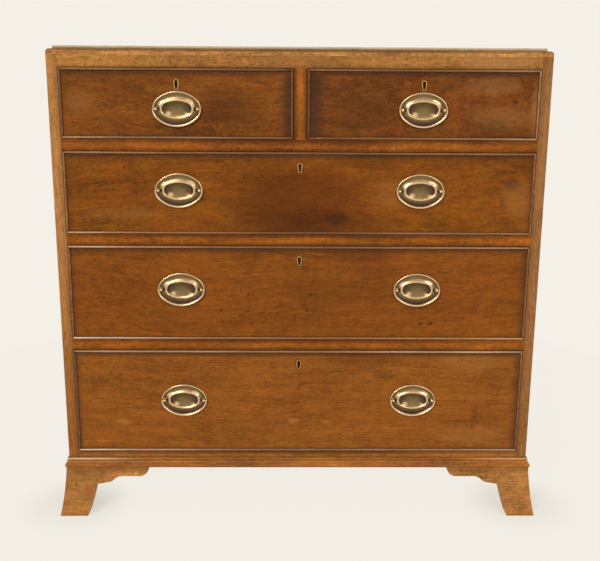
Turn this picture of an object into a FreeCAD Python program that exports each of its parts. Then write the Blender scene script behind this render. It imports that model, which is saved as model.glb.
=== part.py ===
import FreeCAD, Part
import math
import os

from FreeCAD import Vector

# A bachelor's chest: two short drawers over three long graduated drawers, cockbeaded fronts with
# oval brass plates and bails, a moulded base and splayed bracket feet.
# Millimetres. X to the right, the drawers face -Y, Z up, origin on the floor under the middle.

# ---- case ----
CASE_WIDTH = 914.0
CASE_DEPTH = 475.0
SIDE_THICKNESS = 19.5
TOP_THICKNESS = 16.0
BOTTOM_THICKNESS = 18.0
BOTTOM_LAP = 8.0  # how far the bottom board reaches into the rebates at the sides' lower ends
RAIL_HEIGHT = 21.5
RAIL_DEPTH = 60.0
BOTTOM_RAIL_HEIGHT = 15.5
HOUSING_DEPTH = 6.0  # grooves in the sides that hold rails, runners and kickers
HOUSING_SETBACK = 8.0  # they stop short of the front edge
DIVIDER_WIDTH = 24.0
DIVIDER_TENON = 5.0
RUNNER_WIDTH = 40.0
RUNNER_BEARING = 20.0  # what the middle runner and kicker give each short drawer
GUIDE_HEIGHT = 35.0
DUSTBOARD_THICKNESS = 8.0
DUSTBOARD_TONGUE = 6.0
BACK_THICKNESS = 9.0
BACK_REBATE = 10.0
BACK_BOARD_COUNT = 4
STOP_WIDTH = 40.0
STOP_DEPTH = 9.0
STOP_HEIGHT = 5.0
STOP_INSET = 90.0  # from the drawer's end to the middle of its stop

# ---- openings from the bottom row up, and where each row's brasses sit below its opening's top ----
OPENING_HEIGHT = {"lower": 211.0, "middle": 185.0, "upper": 155.0, "short": 128.0}
HANDLE_DROP = {"lower": 103.0, "middle": 85.5, "upper": 72.5, "short": 73.5}
KEYHOLE_DROP = 25.5  # from the opening's top to the middle of the keyhole's round lobe

# ---- edge of the top board: a fillet, a quirk and an ovolo, on the front and both ends ----
TOP_FILLET_HEIGHT = 5.4
TOP_FILLET_SETBACK = 10.0
TOP_OVOLO_RADIUS = 6.2

# ---- base moulding: a bead over a cove over a rounded lower member ----
MOULDING_HEIGHT = 19.5
MOULDING_BEAD_HEIGHT = 5.0
MOULDING_BEAD_PROJECTION = 3.6
MOULDING_COVE_PROJECTION = 2.4
MOULDING_COVE_MIDDLE = (3.9, 9.5)  # a point on the cove: projection, height above the case's foot
MOULDING_PROJECTION = 7.0
MOULDING_LOWER_HEIGHT = 7.0
MOULDING_LOWER_MIDDLE = (7.4, 3.5)  # a point on the lower member, measured the same way
MOULDING_FOOT_PROJECTION = 6.0

# ---- splayed bracket feet ----
FOOT_HEIGHT = 99.5
FOOT_TOP_PROJECTION = 5.4
FOOT_MIDDLE_PROJECTION = 10.3  # at half height
FOOT_FLOOR_PROJECTION = 19.3
FOOT_BACKING = 14.5  # how far the bracket's inner face lies behind the case's face
FOOT_LEG_AT_FLOOR = 35.5  # the leg's inner edge, from the case's corner
FOOT_LEG_AT_KNEE = 52.0
FOOT_LEG_BOW = 0.8  # how far that edge bows inward at mid length
FOOT_KNEE_HEIGHT = 57.0
FOOT_KNEE_RADIUS = 8.0
FOOT_SHELF_LENGTH = 14.0  # the flat beside the knee, before the ogee
FOOT_SHELF_RISE = 2.5
FOOT_OGEE_LENGTH = 30.0
FOOT_OGEE_RISE = 13.0
FOOT_WING_LENGTH = 158.6  # from the case's corner to the bracket's tip
FOOT_WING_RADIUS = 19.0
FOOT_REAR_THICKNESS = 16.0
FOOT_REAR_AT_FLOOR = 46.0
FOOT_REAR_LENGTH = 115.0
CORNER_BLOCK = 18.0
CORNER_BLOCK_LIFT = 3.0  # its end stays off the floor
LONG_BLOCK = 15.0
LONG_BLOCK_LENGTH = 90.0

# ---- drawers ----
DRAWER_GAP = 0.9  # between a front and the edges of its opening
DRAWER_BACK_ROOM = 26.0  # between a closed drawer and the back boards
FRONT_THICKNESS = 22.0
DRAWER_SIDE_THICKNESS = 10.0
DRAWER_SIDE_DROP = 1.5  # the sides end below the front's top edge
DRAWER_BACK_THICKNESS = 10.0
DRAWER_BACK_DROP = 6.0  # the back ends below the sides
DRAWER_BOTTOM_THICKNESS = 7.0
DRAWER_BOTTOM_LIFT = 7.0
DRAWER_GROOVE = 4.0
BEAD_THICKNESS = 4.5
BEAD_DEPTH = 10.0
BEAD_PROJECTION = 3.2
BEAD_NOSE = 1.3  # how far the flats on either side of its nose fall back
BEAD_NOSE_WIDTH = 2.0  # between them
TAIL_LENGTH = 10.0  # of the dovetails in the front; behind them it laps the sides' ends
FRONT_TAIL_SPACING = 50.0
BACK_TAIL_SPACING = 65.0
TAIL_GAP = 9.0  # between two tails at their wide ends
TAIL_SLOPE = 1.0 / 6.0

# ---- locks and keyholes ----
LOCK_WIDTH = 58.0
LOCK_HEIGHT = 42.0
LOCK_DEPTH = 9.0
LOCK_FLANGE = 6.0  # how far its plates reach past the case on either side
LOCK_PLATE_THICKNESS = 1.5
LOCK_WALL = 1.0  # in front of its bolt
BOLT_WIDTH = 20.0
BOLT_THICKNESS = 4.5
BOLT_LENGTH = 13.0
BOLT_THROW = 8.0
BOLT_CLEARANCE = 0.3
MORTISE_CLEARANCE = 1.0
KEYHOLE_LOBE_RADIUS = 4.2
KEYHOLE_LOBE_SIDES = 12
KEYHOLE_WAIST = 3.4
KEYHOLE_FOOT = 5.8
KEYHOLE_LENGTH = 13.0  # from the lobe's centre to the foot
KEY_POCKET_DEPTH = 5.5
ESCUTCHEON_LINE = 2.0
ESCUTCHEON_DEPTH = 3.0

# ---- handles ----
PLATE_HALF_WIDTH = 44.5
PLATE_HALF_HEIGHT = 32.0
PLATE_END_RADIUS = 24.0
PLATE_HOLLOW_HEIGHT = 1.0
# the rest of the plate's section: distance in from its edge, height above the drawer's face
PLATE_RIM = (0.7, 2.2)
PLATE_HOLLOW_START = (3.4, PLATE_HOLLOW_HEIGHT)
PLATE_HOLLOW_END = (9.4, PLATE_HOLLOW_HEIGHT)
PLATE_RING = (15.5, 3.4)
PLATE_DISH = (20.5, 1.4)
END_STEPS = 6  # flats round each end of an oval
FLANK_STEPS = 6  # and along its top or bottom
POST_SPACING = 76.2
POST_HEAD_RADIUS = 2.7
POST_HEAD_SIDES = 8
POST_HEAD_REACH = 3.2  # beyond the bail's axis
POST_SHANK_WIDTH = 4.4  # square
POST_HOLE_CLEARANCE = 0.3
NUT_WIDTH = 10.0
NUT_THICKNESS = 4.0
POST_END = 1.5  # the shank's end beyond its nut
BAIL_RADIUS = 2.0
BAIL_SIDES = 6
BAIL_SEAT = 0.3  # between the bail and the plate's rim
BAIL_DROP = 30.4
BAIL_SHOULDER_RADIUS = 22.0
BAIL_TIP_TURN = math.radians(50.0)  # the eased tips end this far round a circle about the pins
BAIL_PIN_RADIUS = 1.2
BAIL_PIN_LENGTH = 3.3  # inside the post's head
BAIL_PIN_CLEARANCE = 0.2
BAIL_ARM_CLEARANCE = 0.3

# ---- planes and levels worked out from those sizes ----
HALF_WIDTH = CASE_WIDTH / 2
INNER_HALF = HALF_WIDTH - SIDE_THICKNESS
FRONT = (FOOT_FLOOR_PROJECTION - CASE_DEPTH) / 2  # the feet reach as far ahead as the back behind
BACK = FRONT + CASE_DEPTH
BACK_BOARD_FRONT = BACK - BACK_THICKNESS
DRAWER_END = BACK_BOARD_FRONT - DRAWER_BACK_ROOM
RAIL_REAR = FRONT + RAIL_DEPTH
CASE_BOTTOM = FOOT_HEIGHT
BOTTOM_BOARD_TOP = CASE_BOTTOM + BOTTOM_THICKNESS
ROWS = tuple(OPENING_HEIGHT)


def floor_level(row):
    """The height of a row's floor: the bottom rail, then each row below with the rail over it."""
    below = ROWS[:ROWS.index(row)]
    rise = sum(OPENING_HEIGHT[name] + RAIL_HEIGHT for name in below)
    return BOTTOM_BOARD_TOP + BOTTOM_RAIL_HEIGHT + rise


FLOOR_OF = {row: floor_level(row) for row in ROWS}
CEILING_OF = {row: FLOOR_OF[row] + OPENING_HEIGHT[row] for row in ROWS}
TOP_UNDERSIDE = CEILING_OF["short"] + RAIL_HEIGHT
CHEST_HEIGHT = TOP_UNDERSIDE + TOP_THICKNESS
SHORT_CENTRE = (INNER_HALF + DIVIDER_WIDTH / 2) / 2
BAIL_AXIS_HEIGHT = PLATE_RIM[1] + BAIL_SEAT + BAIL_RADIUS  # ahead of the drawer's face
BAIL_HALF_WIDTH = POST_SPACING / 2 + POST_HEAD_RADIUS + BAIL_ARM_CLEARANCE + BAIL_RADIUS
POST_HOLE_WIDTH = POST_SHANK_WIDTH + 2 * POST_HOLE_CLEARANCE
LOCK_FACE = FRONT + FRONT_THICKNESS - LOCK_DEPTH
BOLT_Y = LOCK_FACE + LOCK_WALL + BOLT_CLEARANCE + BOLT_THICKNESS / 2

# name, row, the opening's left and right edges, middles of its handles, middle of its lock
LONG = (-INNER_HALF, INNER_HALF)
PAIR = (-SHORT_CENTRE, SHORT_CENTRE)
DRAWERS = (
    ("left_drawer", "short", (-INNER_HALF, -DIVIDER_WIDTH / 2), PAIR[:1], -SHORT_CENTRE),
    ("right_drawer", "short", (DIVIDER_WIDTH / 2, INNER_HALF), PAIR[1:], SHORT_CENTRE),
    ("upper_drawer", "upper", LONG, PAIR, 0.0),
    ("middle_drawer", "middle", LONG, PAIR, 0.0),
    ("lower_drawer", "lower", LONG, PAIR, 0.0),
)


# ---- helpers ----
def block(x, y, z):
    """A box between three (low, high) pairs."""
    return Part.makeBox(x[1] - x[0], y[1] - y[0], z[1] - z[0], Vector(x[0], y[0], z[0]))


def span(start, length):
    return (start, start + length)


def about(middle, width):
    return (middle - width / 2, middle + width / 2)


def mirrored(shape):
    """The same shape on the chest's other side."""
    return shape.mirror(Vector(0, 0, 0), Vector(1, 0, 0))


def outline(start, steps):
    """A face inside a closed line. A step is an end point, or (point on an arc, the arc's end)."""
    edges = []
    here = start
    for step in steps:
        if isinstance(step, tuple):
            end = step[1]
            edges.append(Part.Arc(here, step[0], end).toShape())
        else:
            end = step
            edges.append(Part.LineSegment(here, end).toShape())
        here = end
    edges.append(Part.LineSegment(here, start).toShape())
    return Part.Face(Part.Wire(edges))


def polygon(points):
    return Part.Face(Part.makePolygon(points + points[:1]))


def skinned(rings):
    """A solid through rings of as many points each: flat facets between them and flat ends."""
    facets = [polygon(rings[0]), polygon(rings[-1])]
    for near, far in zip(rings, rings[1:]):
        for n in range(len(near)):
            facets.append(polygon([near[n - 1], near[n], far[n], far[n - 1]]))
    shell = Part.makeShell(facets)
    shell.sewShape()
    return Part.makeSolid(shell)


def joined(shapes):
    return shapes[0].multiFuse(shapes[1:]).removeSplitter()


def round_bar(place, radius, sides, length):
    """A bar with so many flats round it, running back along Y from a point."""
    turns = [2 * math.pi * (n + 0.5) / sides for n in range(sides)]
    ring = [place + Vector(math.sin(turn), 0, math.cos(turn)) * radius for turn in turns]
    return polygon(ring).extrude(Vector(0, length, 0))


def square_bar(place, width, length):
    """A square bar running back along Y from a point."""
    return block(about(place.x, width), span(place.y, length), about(place.z, width))


def write(name, solids):
    """One STEP file, each piece in it a solid of its own."""
    shape = solids[0] if len(solids) == 1 else Part.makeCompound(solids)
    shape.exportStep("parts/" + name + ".step")


# ---- case ----
def rail_level(row):
    """Height range of the rail over a row of drawers."""
    return span(CEILING_OF[row], RAIL_HEIGHT)


def side_panel():
    """The right-hand side, rebated for the back and the bottom board and grooved for the rails."""
    height = (CASE_BOTTOM, TOP_UNDERSIDE)
    panel = block((INNER_HALF, HALF_WIDTH), (FRONT, BACK), height)
    back_rebate = block(span(INNER_HALF, BACK_REBATE), (BACK_BOARD_FRONT, BACK), height)
    bottom_z = (CASE_BOTTOM, BOTTOM_BOARD_TOP)
    bottom_rebate = block(span(INNER_HALF, BOTTOM_LAP), (FRONT, BACK_BOARD_FRONT), bottom_z)
    housing_x = span(INNER_HALF, HOUSING_DEPTH)
    housing_y = (FRONT + HOUSING_SETBACK, BACK_BOARD_FRONT)
    housings = [block(housing_x, housing_y, rail_level(row)) for row in ROWS]
    return panel.cut([back_rebate, bottom_rebate] + housings)


def top_board():
    """The top with its moulded edge on the front and both ends; the rear edge is square."""
    z_ovolo = CHEST_HEIGHT - TOP_FILLET_HEIGHT
    z_edge = z_ovolo - TOP_OVOLO_RADIUS
    bulge = TOP_OVOLO_RADIUS * (1 - math.sqrt(0.5))

    def profile(put, far):
        """The front edge's section, then square down at far; put(inset, z) places a point."""
        return [
            put(0, z_edge),
            (put(bulge, z_ovolo - bulge), put(TOP_OVOLO_RADIUS, z_ovolo)),
            put(TOP_FILLET_SETBACK, z_ovolo),
            put(TOP_FILLET_SETBACK, CHEST_HEIGHT),
        ] + far

    def at_front(inset, z):
        return Vector(-HALF_WIDTH, FRONT + inset, z)

    def at_left(inset, z):
        return Vector(-HALF_WIDTH + inset, FRONT, z)

    def at_right(inset, z):
        return Vector(HALF_WIDTH - inset, FRONT, z)

    rear = [Vector(-HALF_WIDTH, BACK, CHEST_HEIGHT), Vector(-HALF_WIDTH, BACK, TOP_UNDERSIDE)]
    lengthwise = outline(at_front(0, TOP_UNDERSIDE), profile(at_front, rear))
    right_end = [
        at_right(TOP_FILLET_SETBACK, CHEST_HEIGHT),
        at_right(TOP_FILLET_SETBACK, z_ovolo),
        at_right(TOP_OVOLO_RADIUS, z_ovolo),
        (at_right(bulge, z_ovolo - bulge), at_right(0, z_edge)),
        at_right(0, TOP_UNDERSIDE),
    ]
    crosswise = outline(at_left(0, TOP_UNDERSIDE), profile(at_left, right_end))
    board = lengthwise.extrude(Vector(CASE_WIDTH, 0, 0))
    return board.common(crosswise.extrude(Vector(0, CASE_DEPTH, 0)))


def bottom_board():
    half = INNER_HALF + BOTTOM_LAP
    return block((-half, half), (FRONT, BACK_BOARD_FRONT), (CASE_BOTTOM, BOTTOM_BOARD_TOP))


def back_boards():
    """Upright boards nailed into the rebates of the sides."""
    half = INNER_HALF + BACK_REBATE
    width = 2 * half / BACK_BOARD_COUNT
    y = (BACK_BOARD_FRONT, BACK)
    z = (CASE_BOTTOM, TOP_UNDERSIDE)
    return [block(span(-half + n * width, width), y, z) for n in range(BACK_BOARD_COUNT)]


def bolt_mortise(lock_x, row):
    """The pocket over a lock that its bolt shoots into."""
    x = about(lock_x, BOLT_WIDTH + 2 * MORTISE_CLEARANCE)
    y = about(BOLT_Y, BOLT_THICKNESS + 2 * MORTISE_CLEARANCE)
    return block(x, y, span(CEILING_OF[row], BOLT_THROW + MORTISE_CLEARANCE))


def dustboard_level(row):
    """Height range of the dustboard in the middle of the rail over a row."""
    return about(CEILING_OF[row] + RAIL_HEIGHT / 2, DUSTBOARD_THICKNESS)


def rail(row):
    """The rail over a row, with its ends let into the sides and mortises for the bolts below it."""
    z = rail_level(row)
    end = INNER_HALF + HOUSING_DEPTH
    body = block(LONG, (FRONT, RAIL_REAR), z)
    ends = block((-end, end), (FRONT + HOUSING_SETBACK, RAIL_REAR), z)
    cuts = [bolt_mortise(lock_x, row) for _, at, _, _, lock_x in DRAWERS if at == row]
    if row == "short":
        cuts.append(divider_tenon(CEILING_OF["short"], DIVIDER_TENON))
    else:
        tongue_y = (RAIL_REAR - DUSTBOARD_TONGUE, RAIL_REAR)
        for x in dustboard_widths(row):
            cuts.append(block(x, tongue_y, dustboard_level(row)))
    if row == "upper":
        cuts.append(divider_tenon(FLOOR_OF["short"] - DIVIDER_TENON, DIVIDER_TENON))
    return joined([body, ends]).cut(cuts)


def bottom_rail():
    z = (BOTTOM_BOARD_TOP, FLOOR_OF["lower"])
    return block(LONG, (FRONT, RAIL_REAR), z)


def divider_tenon(z_low, height):
    y = (FRONT + HOUSING_SETBACK, RAIL_REAR - HOUSING_SETBACK)
    return block(about(0, DIVIDER_WIDTH), y, span(z_low, height))


def centre_divider():
    """The upright between the short drawers, tenoned into the rails above and below."""
    z = (FLOOR_OF["short"], CEILING_OF["short"])
    post = block(about(0, DIVIDER_WIDTH), (FRONT, RAIL_REAR), z)
    lower = divider_tenon(z[0] - DIVIDER_TENON, DIVIDER_TENON)
    upper = divider_tenon(z[1], DIVIDER_TENON)
    return joined([post, lower, upper])


def dustboard_widths(row):
    """Left and right edges of the dustboards over a row, tongues included."""
    outer = INNER_HALF - RUNNER_WIDTH + DUSTBOARD_TONGUE
    if row != "upper":
        return [(-outer, outer)]
    inner = DIVIDER_WIDTH / 2 + RUNNER_BEARING - DUSTBOARD_TONGUE
    return [(-outer, -inner), (inner, outer)]


def dustboards():
    """Thin boards between the drawers, tongued into the rails and runners."""
    y = (RAIL_REAR - DUSTBOARD_TONGUE, BACK_BOARD_FRONT)
    boards = []
    for row in ("lower", "middle", "upper"):
        boards += [block(x, y, dustboard_level(row)) for x in dustboard_widths(row)]
    return boards


def runners():
    """What carries, steadies and guides the drawers behind the rails, in the sides' grooves."""
    y = (RAIL_REAR, BACK_BOARD_FRONT)
    side_x = (INNER_HALF - RUNNER_WIDTH, INNER_HALF + HOUSING_DEPTH)
    middle_x = about(0, DIVIDER_WIDTH + 2 * RUNNER_BEARING)
    pieces = []
    for row in ROWS:
        grooves = []
        if row != "short":
            grooves = [block(x, y, dustboard_level(row)) for x in dustboard_widths(row)]
        right = block(side_x, y, rail_level(row))
        strips = [right, mirrored(right)]
        if row in ("upper", "short"):
            strips.append(block(middle_x, y, rail_level(row)))
        pieces += [strip.cut(grooves) if grooves else strip for strip in strips]
    bottom_z = (BOTTOM_BOARD_TOP, FLOOR_OF["lower"])
    bottom = block((INNER_HALF - RUNNER_WIDTH, INNER_HALF), y, bottom_z)
    guide = block(about(0, DIVIDER_WIDTH), y, span(FLOOR_OF["short"], GUIDE_HEIGHT))
    return pieces + [bottom, mirrored(bottom), guide]


def drawer_stops():
    """Two small blocks on the rail under each drawer, which meet the back of its front."""
    stops = []
    for _, row, opening, _, _ in DRAWERS:
        y = span(FRONT + FRONT_THICKNESS, STOP_DEPTH)
        z = span(FLOOR_OF[row], STOP_HEIGHT)
        for middle in (opening[0] + STOP_INSET, opening[1] - STOP_INSET):
            stops.append(block(about(middle, STOP_WIDTH), y, z))
    return stops


# ---- base ----
def moulding_section(put):
    """The base moulding's section; put(projection, z) places a point."""
    top = CASE_BOTTOM + MOULDING_HEIGHT
    quirk = top - MOULDING_BEAD_HEIGHT
    lower = CASE_BOTTOM + MOULDING_LOWER_HEIGHT
    round_start = MOULDING_BEAD_PROJECTION - MOULDING_BEAD_HEIGHT / 2

    def put_middle(middle):
        return put(middle[0], CASE_BOTTOM + middle[1])

    steps = [
        put(round_start, top),
        (put(MOULDING_BEAD_PROJECTION, (top + quirk) / 2), put(round_start, quirk)),
        put(MOULDING_COVE_PROJECTION, quirk),
        (put_middle(MOULDING_COVE_MIDDLE), put(MOULDING_PROJECTION, lower)),
        (put_middle(MOULDING_LOWER_MIDDLE), put(MOULDING_FOOT_PROJECTION, CASE_BOTTOM)),
        put(0, CASE_BOTTOM),
    ]
    return outline(put(0, top), steps)


def base_moulding():
    """Three lengths mitred at the front corners and glued to the case."""
    reach = 2 * MOULDING_PROJECTION
    wide = HALF_WIDTH + reach
    ahead = FRONT - reach
    height = Vector(0, 0, CASE_BOTTOM + MOULDING_HEIGHT)

    def at_front(projection, z):
        return Vector(-wide, FRONT - projection, z)

    def at_right(projection, z):
        return Vector(HALF_WIDTH + projection, ahead, z)

    front_mitres = polygon([
        Vector(-HALF_WIDTH, FRONT, 0),
        Vector(-wide, ahead, 0),
        Vector(wide, ahead, 0),
        Vector(HALF_WIDTH, FRONT, 0),
    ]).extrude(height)
    right_mitre = polygon([
        Vector(HALF_WIDTH, FRONT, 0),
        Vector(wide, ahead, 0),
        Vector(wide, BACK, 0),
        Vector(HALF_WIDTH, BACK, 0),
    ]).extrude(height)
    front = moulding_section(at_front).extrude(Vector(2 * wide, 0, 0)).common(front_mitres)
    right = moulding_section(at_right).extrude(Vector(0, BACK - ahead, 0)).common(right_mitre)
    return [front, right, mirrored(right)]


def bracket_face():
    """The bracket's face seen square on: X runs from the case's corner towards its tip."""
    knee = Vector(FOOT_LEG_AT_KNEE, 0, FOOT_KNEE_HEIGHT)
    shelf = Vector(knee.x + FOOT_KNEE_RADIUS, 0, knee.z + FOOT_KNEE_RADIUS)
    ogee_start = shelf + Vector(FOOT_SHELF_LENGTH, 0, FOOT_SHELF_RISE)
    ogee_end = ogee_start + Vector(FOOT_OGEE_LENGTH, 0, FOOT_OGEE_RISE)
    ogee_middle = (ogee_start + ogee_end) / 2
    half_run = FOOT_OGEE_LENGTH / 2
    half_rise = FOOT_OGEE_RISE / 2
    ogee_radius = (half_run**2 + half_rise**2) / (2 * half_rise)
    half_turn = math.asin(half_run / ogee_radius) / 2
    sag = Vector(ogee_radius * math.sin(half_turn), 0, ogee_radius * (1 - math.cos(half_turn)))
    wing = Vector(FOOT_WING_LENGTH, 0, FOOT_HEIGHT)
    wing_start = Vector(wing.x - FOOT_WING_RADIUS, 0, ogee_end.z)
    wing_turn = math.sqrt(0.5)
    wing_bulge = Vector(
        wing_start.x + FOOT_WING_RADIUS * wing_turn,
        0,
        wing.z - (wing.z - wing_start.z) * wing_turn,
    )
    leg_floor = Vector(FOOT_LEG_AT_FLOOR, 0, 0)
    leg_bow = (leg_floor + knee) / 2 + Vector(FOOT_LEG_BOW, 0, 0)
    knee_sag = FOOT_KNEE_RADIUS * (1 - wing_turn)
    knee_bend = Vector(knee.x + knee_sag, 0, shelf.z - knee_sag)
    outer = Vector(-2 * FOOT_FLOOR_PROJECTION, 0, 0)
    steps = [
        leg_floor,
        (leg_bow, knee),
        (knee_bend, shelf),
        ogee_start,
        (ogee_start + sag, ogee_middle),
        (ogee_end - sag, ogee_end),
        wing_start,
        (wing_bulge, wing),
        outer + Vector(0, 0, FOOT_HEIGHT),
    ]
    return outline(outer, steps)


def bracket_section():
    """The bracket's section: a flat inner face and an outer face that flares to the floor."""
    steps = [
        Vector(0, FOOT_BACKING, FOOT_HEIGHT),
        Vector(0, -FOOT_TOP_PROJECTION, FOOT_HEIGHT),
        (
            Vector(0, -FOOT_MIDDLE_PROJECTION, FOOT_HEIGHT / 2),
            Vector(0, -FOOT_FLOOR_PROJECTION, 0),
        ),
    ]
    return outline(Vector(0, FOOT_BACKING, 0), steps)


def bracket(mitred):
    """A front bracket with the case's corner at the origin, mitred there or cut off square."""
    out = 2 * FOOT_FLOOR_PROJECTION
    depth = Vector(0, out + FOOT_BACKING, 0)
    face = bracket_face().translated(Vector(0, -out, 0)).extrude(depth)
    section = bracket_section().translated(Vector(-out, 0, 0))
    length = Vector(out + FOOT_WING_LENGTH, 0, 0)
    board = section.extrude(length).common(face)
    outer_x, inner_x = (-out, FOOT_BACKING) if mitred else (0, 0)
    kept = polygon([
        Vector(outer_x, -out, 0),
        Vector(FOOT_WING_LENGTH, -out, 0),
        Vector(FOOT_WING_LENGTH, FOOT_BACKING, 0),
        Vector(inner_x, FOOT_BACKING, 0),
    ]).extrude(Vector(0, 0, FOOT_HEIGHT))
    return board.common(kept)


def turned_to_side(shape):
    """Swaps X and Y, so that a front bracket becomes the side bracket of the same corner."""
    return shape.mirror(Vector(0, 0, 0), Vector(1, -1, 0))


def long_block():
    """The glue block along the inside of a bracket's top."""
    x = span(FOOT_BACKING + CORNER_BLOCK, LONG_BLOCK_LENGTH)
    return block(x, span(FOOT_BACKING, LONG_BLOCK), (FOOT_HEIGHT - LONG_BLOCK, FOOT_HEIGHT))


def front_foot():
    """The left front foot: two mitred brackets and the glue blocks behind them."""
    front = bracket(mitred=True)
    corner_x = span(FOOT_BACKING, CORNER_BLOCK)
    corner = block(corner_x, corner_x, (CORNER_BLOCK_LIFT, FOOT_HEIGHT))
    strip = long_block()
    pieces = [front, turned_to_side(front), corner, strip, turned_to_side(strip)]
    return [piece.translated(Vector(-HALF_WIDTH, FRONT, 0)) for piece in pieces]


def back_foot():
    """The left back foot: a flared side bracket and a plain board across the back."""
    side = turned_to_side(bracket(mitred=False))
    rear = polygon([
        Vector(FOOT_BACKING, 0, 0),
        Vector(FOOT_REAR_AT_FLOOR, 0, 0),
        Vector(FOOT_REAR_LENGTH, 0, FOOT_HEIGHT),
        Vector(FOOT_BACKING, 0, FOOT_HEIGHT),
    ]).extrude(Vector(0, FOOT_REAR_THICKNESS, 0))
    corner_x = span(FOOT_BACKING, CORNER_BLOCK)
    corner_y = span(FOOT_REAR_THICKNESS, CORNER_BLOCK)
    corner = block(corner_x, corner_y, (CORNER_BLOCK_LIFT, FOOT_HEIGHT))
    beside = turned_to_side(long_block()).translated(Vector(0, FOOT_REAR_THICKNESS - FOOT_BACKING, 0))
    pieces = [side, rear, corner, beside]
    facing_back = [piece.mirror(Vector(0, 0, 0), Vector(0, 1, 0)) for piece in pieces]
    return [piece.translated(Vector(-HALF_WIDTH, BACK, 0)) for piece in facing_back]


# ---- drawers ----
def front_size(drawer):
    """(x, z) ranges of a drawer front, beads included."""
    _, row, opening, _, _ = drawer
    x = (opening[0] + DRAWER_GAP, opening[1] - DRAWER_GAP)
    z = (FLOOR_OF[row] + DRAWER_GAP, CEILING_OF[row] - DRAWER_GAP)
    return x, z


def inset(pair, by):
    return (pair[0] + by, pair[1] - by)


def side_level(drawer):
    """Height range of a drawer's sides: they run on the rail's level."""
    return (FLOOR_OF[drawer[1]], front_size(drawer)[1][1] - DRAWER_SIDE_DROP)


def back_level(drawer):
    low = FLOOR_OF[drawer[1]] + DRAWER_BOTTOM_LIFT + DRAWER_BOTTOM_THICKNESS
    return (low, side_level(drawer)[1] - DRAWER_BACK_DROP)


def tails(x, y_root, y_end, z, spacing):
    """Dovetails between two heights: their roots at y_root, wider at y_end."""
    count = max(2, round((z[1] - z[0]) / spacing))
    pitch = (z[1] - z[0]) / count
    wide = (pitch - TAIL_GAP) / 2
    narrow = wide - abs(y_end - y_root) * TAIL_SLOPE
    shapes = []
    for n in range(count):
        middle = z[0] + (n + 0.5) * pitch
        face = polygon([
            Vector(x[0], y_root, middle - narrow),
            Vector(x[0], y_end, middle - wide),
            Vector(x[0], y_end, middle + wide),
            Vector(x[0], y_root, middle + narrow),
        ])
        shapes.append(face.extrude(Vector(x[1] - x[0], 0, 0)))
    return shapes


def front_tails(drawer, x):
    """The tails at a side's front end, which the front's sockets fit."""
    root = FRONT + FRONT_THICKNESS
    z = (front_size(drawer)[1][0], side_level(drawer)[1])
    return tails(x, root, root - TAIL_LENGTH, z, FRONT_TAIL_SPACING)


def back_tails(drawer, x):
    root = DRAWER_END - DRAWER_BACK_THICKNESS
    return tails(x, root, DRAWER_END, back_level(drawer), BACK_TAIL_SPACING)


def side_widths(drawer):
    """Where a drawer's left and right sides are."""
    x, _ = front_size(drawer)
    return [span(x[0], DRAWER_SIDE_THICKNESS), (x[1] - DRAWER_SIDE_THICKNESS, x[1])]


def drawer_bottom(drawer):
    """The bottom, in grooves in the front and sides, and under the back."""
    inner = inset(front_size(drawer)[0], DRAWER_SIDE_THICKNESS)
    z = span(FLOOR_OF[drawer[1]] + DRAWER_BOTTOM_LIFT, DRAWER_BOTTOM_THICKNESS)
    root = FRONT + FRONT_THICKNESS
    panel = block(inset(inner, -DRAWER_GROOVE), (root, DRAWER_END), z)
    return joined([panel, block(inner, (root - DRAWER_GROOVE, root), z)])


def drawer_box(drawer):
    """Two sides and the back, dovetailed together."""
    body_y = (FRONT + FRONT_THICKNESS, DRAWER_END - DRAWER_BACK_THICKNESS)
    rear_y = (body_y[1], DRAWER_END)
    z = side_level(drawer)
    back_z = back_level(drawer)
    bottom = drawer_bottom(drawer)
    back = block(front_size(drawer)[0], rear_y, back_z)
    pieces = []
    for x in side_widths(drawer):
        rear_tails = back_tails(drawer, x)
        ends = [block(x, rear_y, (z[0], back_z[0])), block(x, rear_y, (back_z[1], z[1]))]
        board = joined([block(x, body_y, z)] + ends + rear_tails + front_tails(drawer, x))
        pieces.append(board.cut(bottom))
        back = back.cut(rear_tails)
    return pieces + [back]


def keyhole(middle_x, lobe_z, y, grow=0.0):
    """A keyhole-shaped prism: a lobe over a flared foot, grown outward by grow."""
    waist = KEYHOLE_WAIST / 2 + grow
    foot = KEYHOLE_FOOT / 2 + grow
    foot_z = lobe_z - KEYHOLE_LENGTH - grow
    depth = y[1] - y[0]
    middle = Vector(middle_x, y[0], lobe_z)
    lobe = round_bar(middle, KEYHOLE_LOBE_RADIUS + grow, KEYHOLE_LOBE_SIDES, depth)
    slot = polygon([
        Vector(middle_x - waist, y[0], lobe_z),
        Vector(middle_x - foot, y[0], foot_z),
        Vector(middle_x + foot, y[0], foot_z),
        Vector(middle_x + waist, y[0], lobe_z),
    ]).extrude(Vector(0, depth, 0))
    return joined([lobe, slot])


def lobe_height(drawer):
    return CEILING_OF[drawer[1]] - KEYHOLE_DROP


def escutcheon(drawer):
    """The brass line let into the front round the keyhole."""
    y = span(FRONT, ESCUTCHEON_DEPTH)
    outer = keyhole(drawer[4], lobe_height(drawer), y, ESCUTCHEON_LINE)
    return outer.cut(keyhole(drawer[4], lobe_height(drawer), y))


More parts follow.
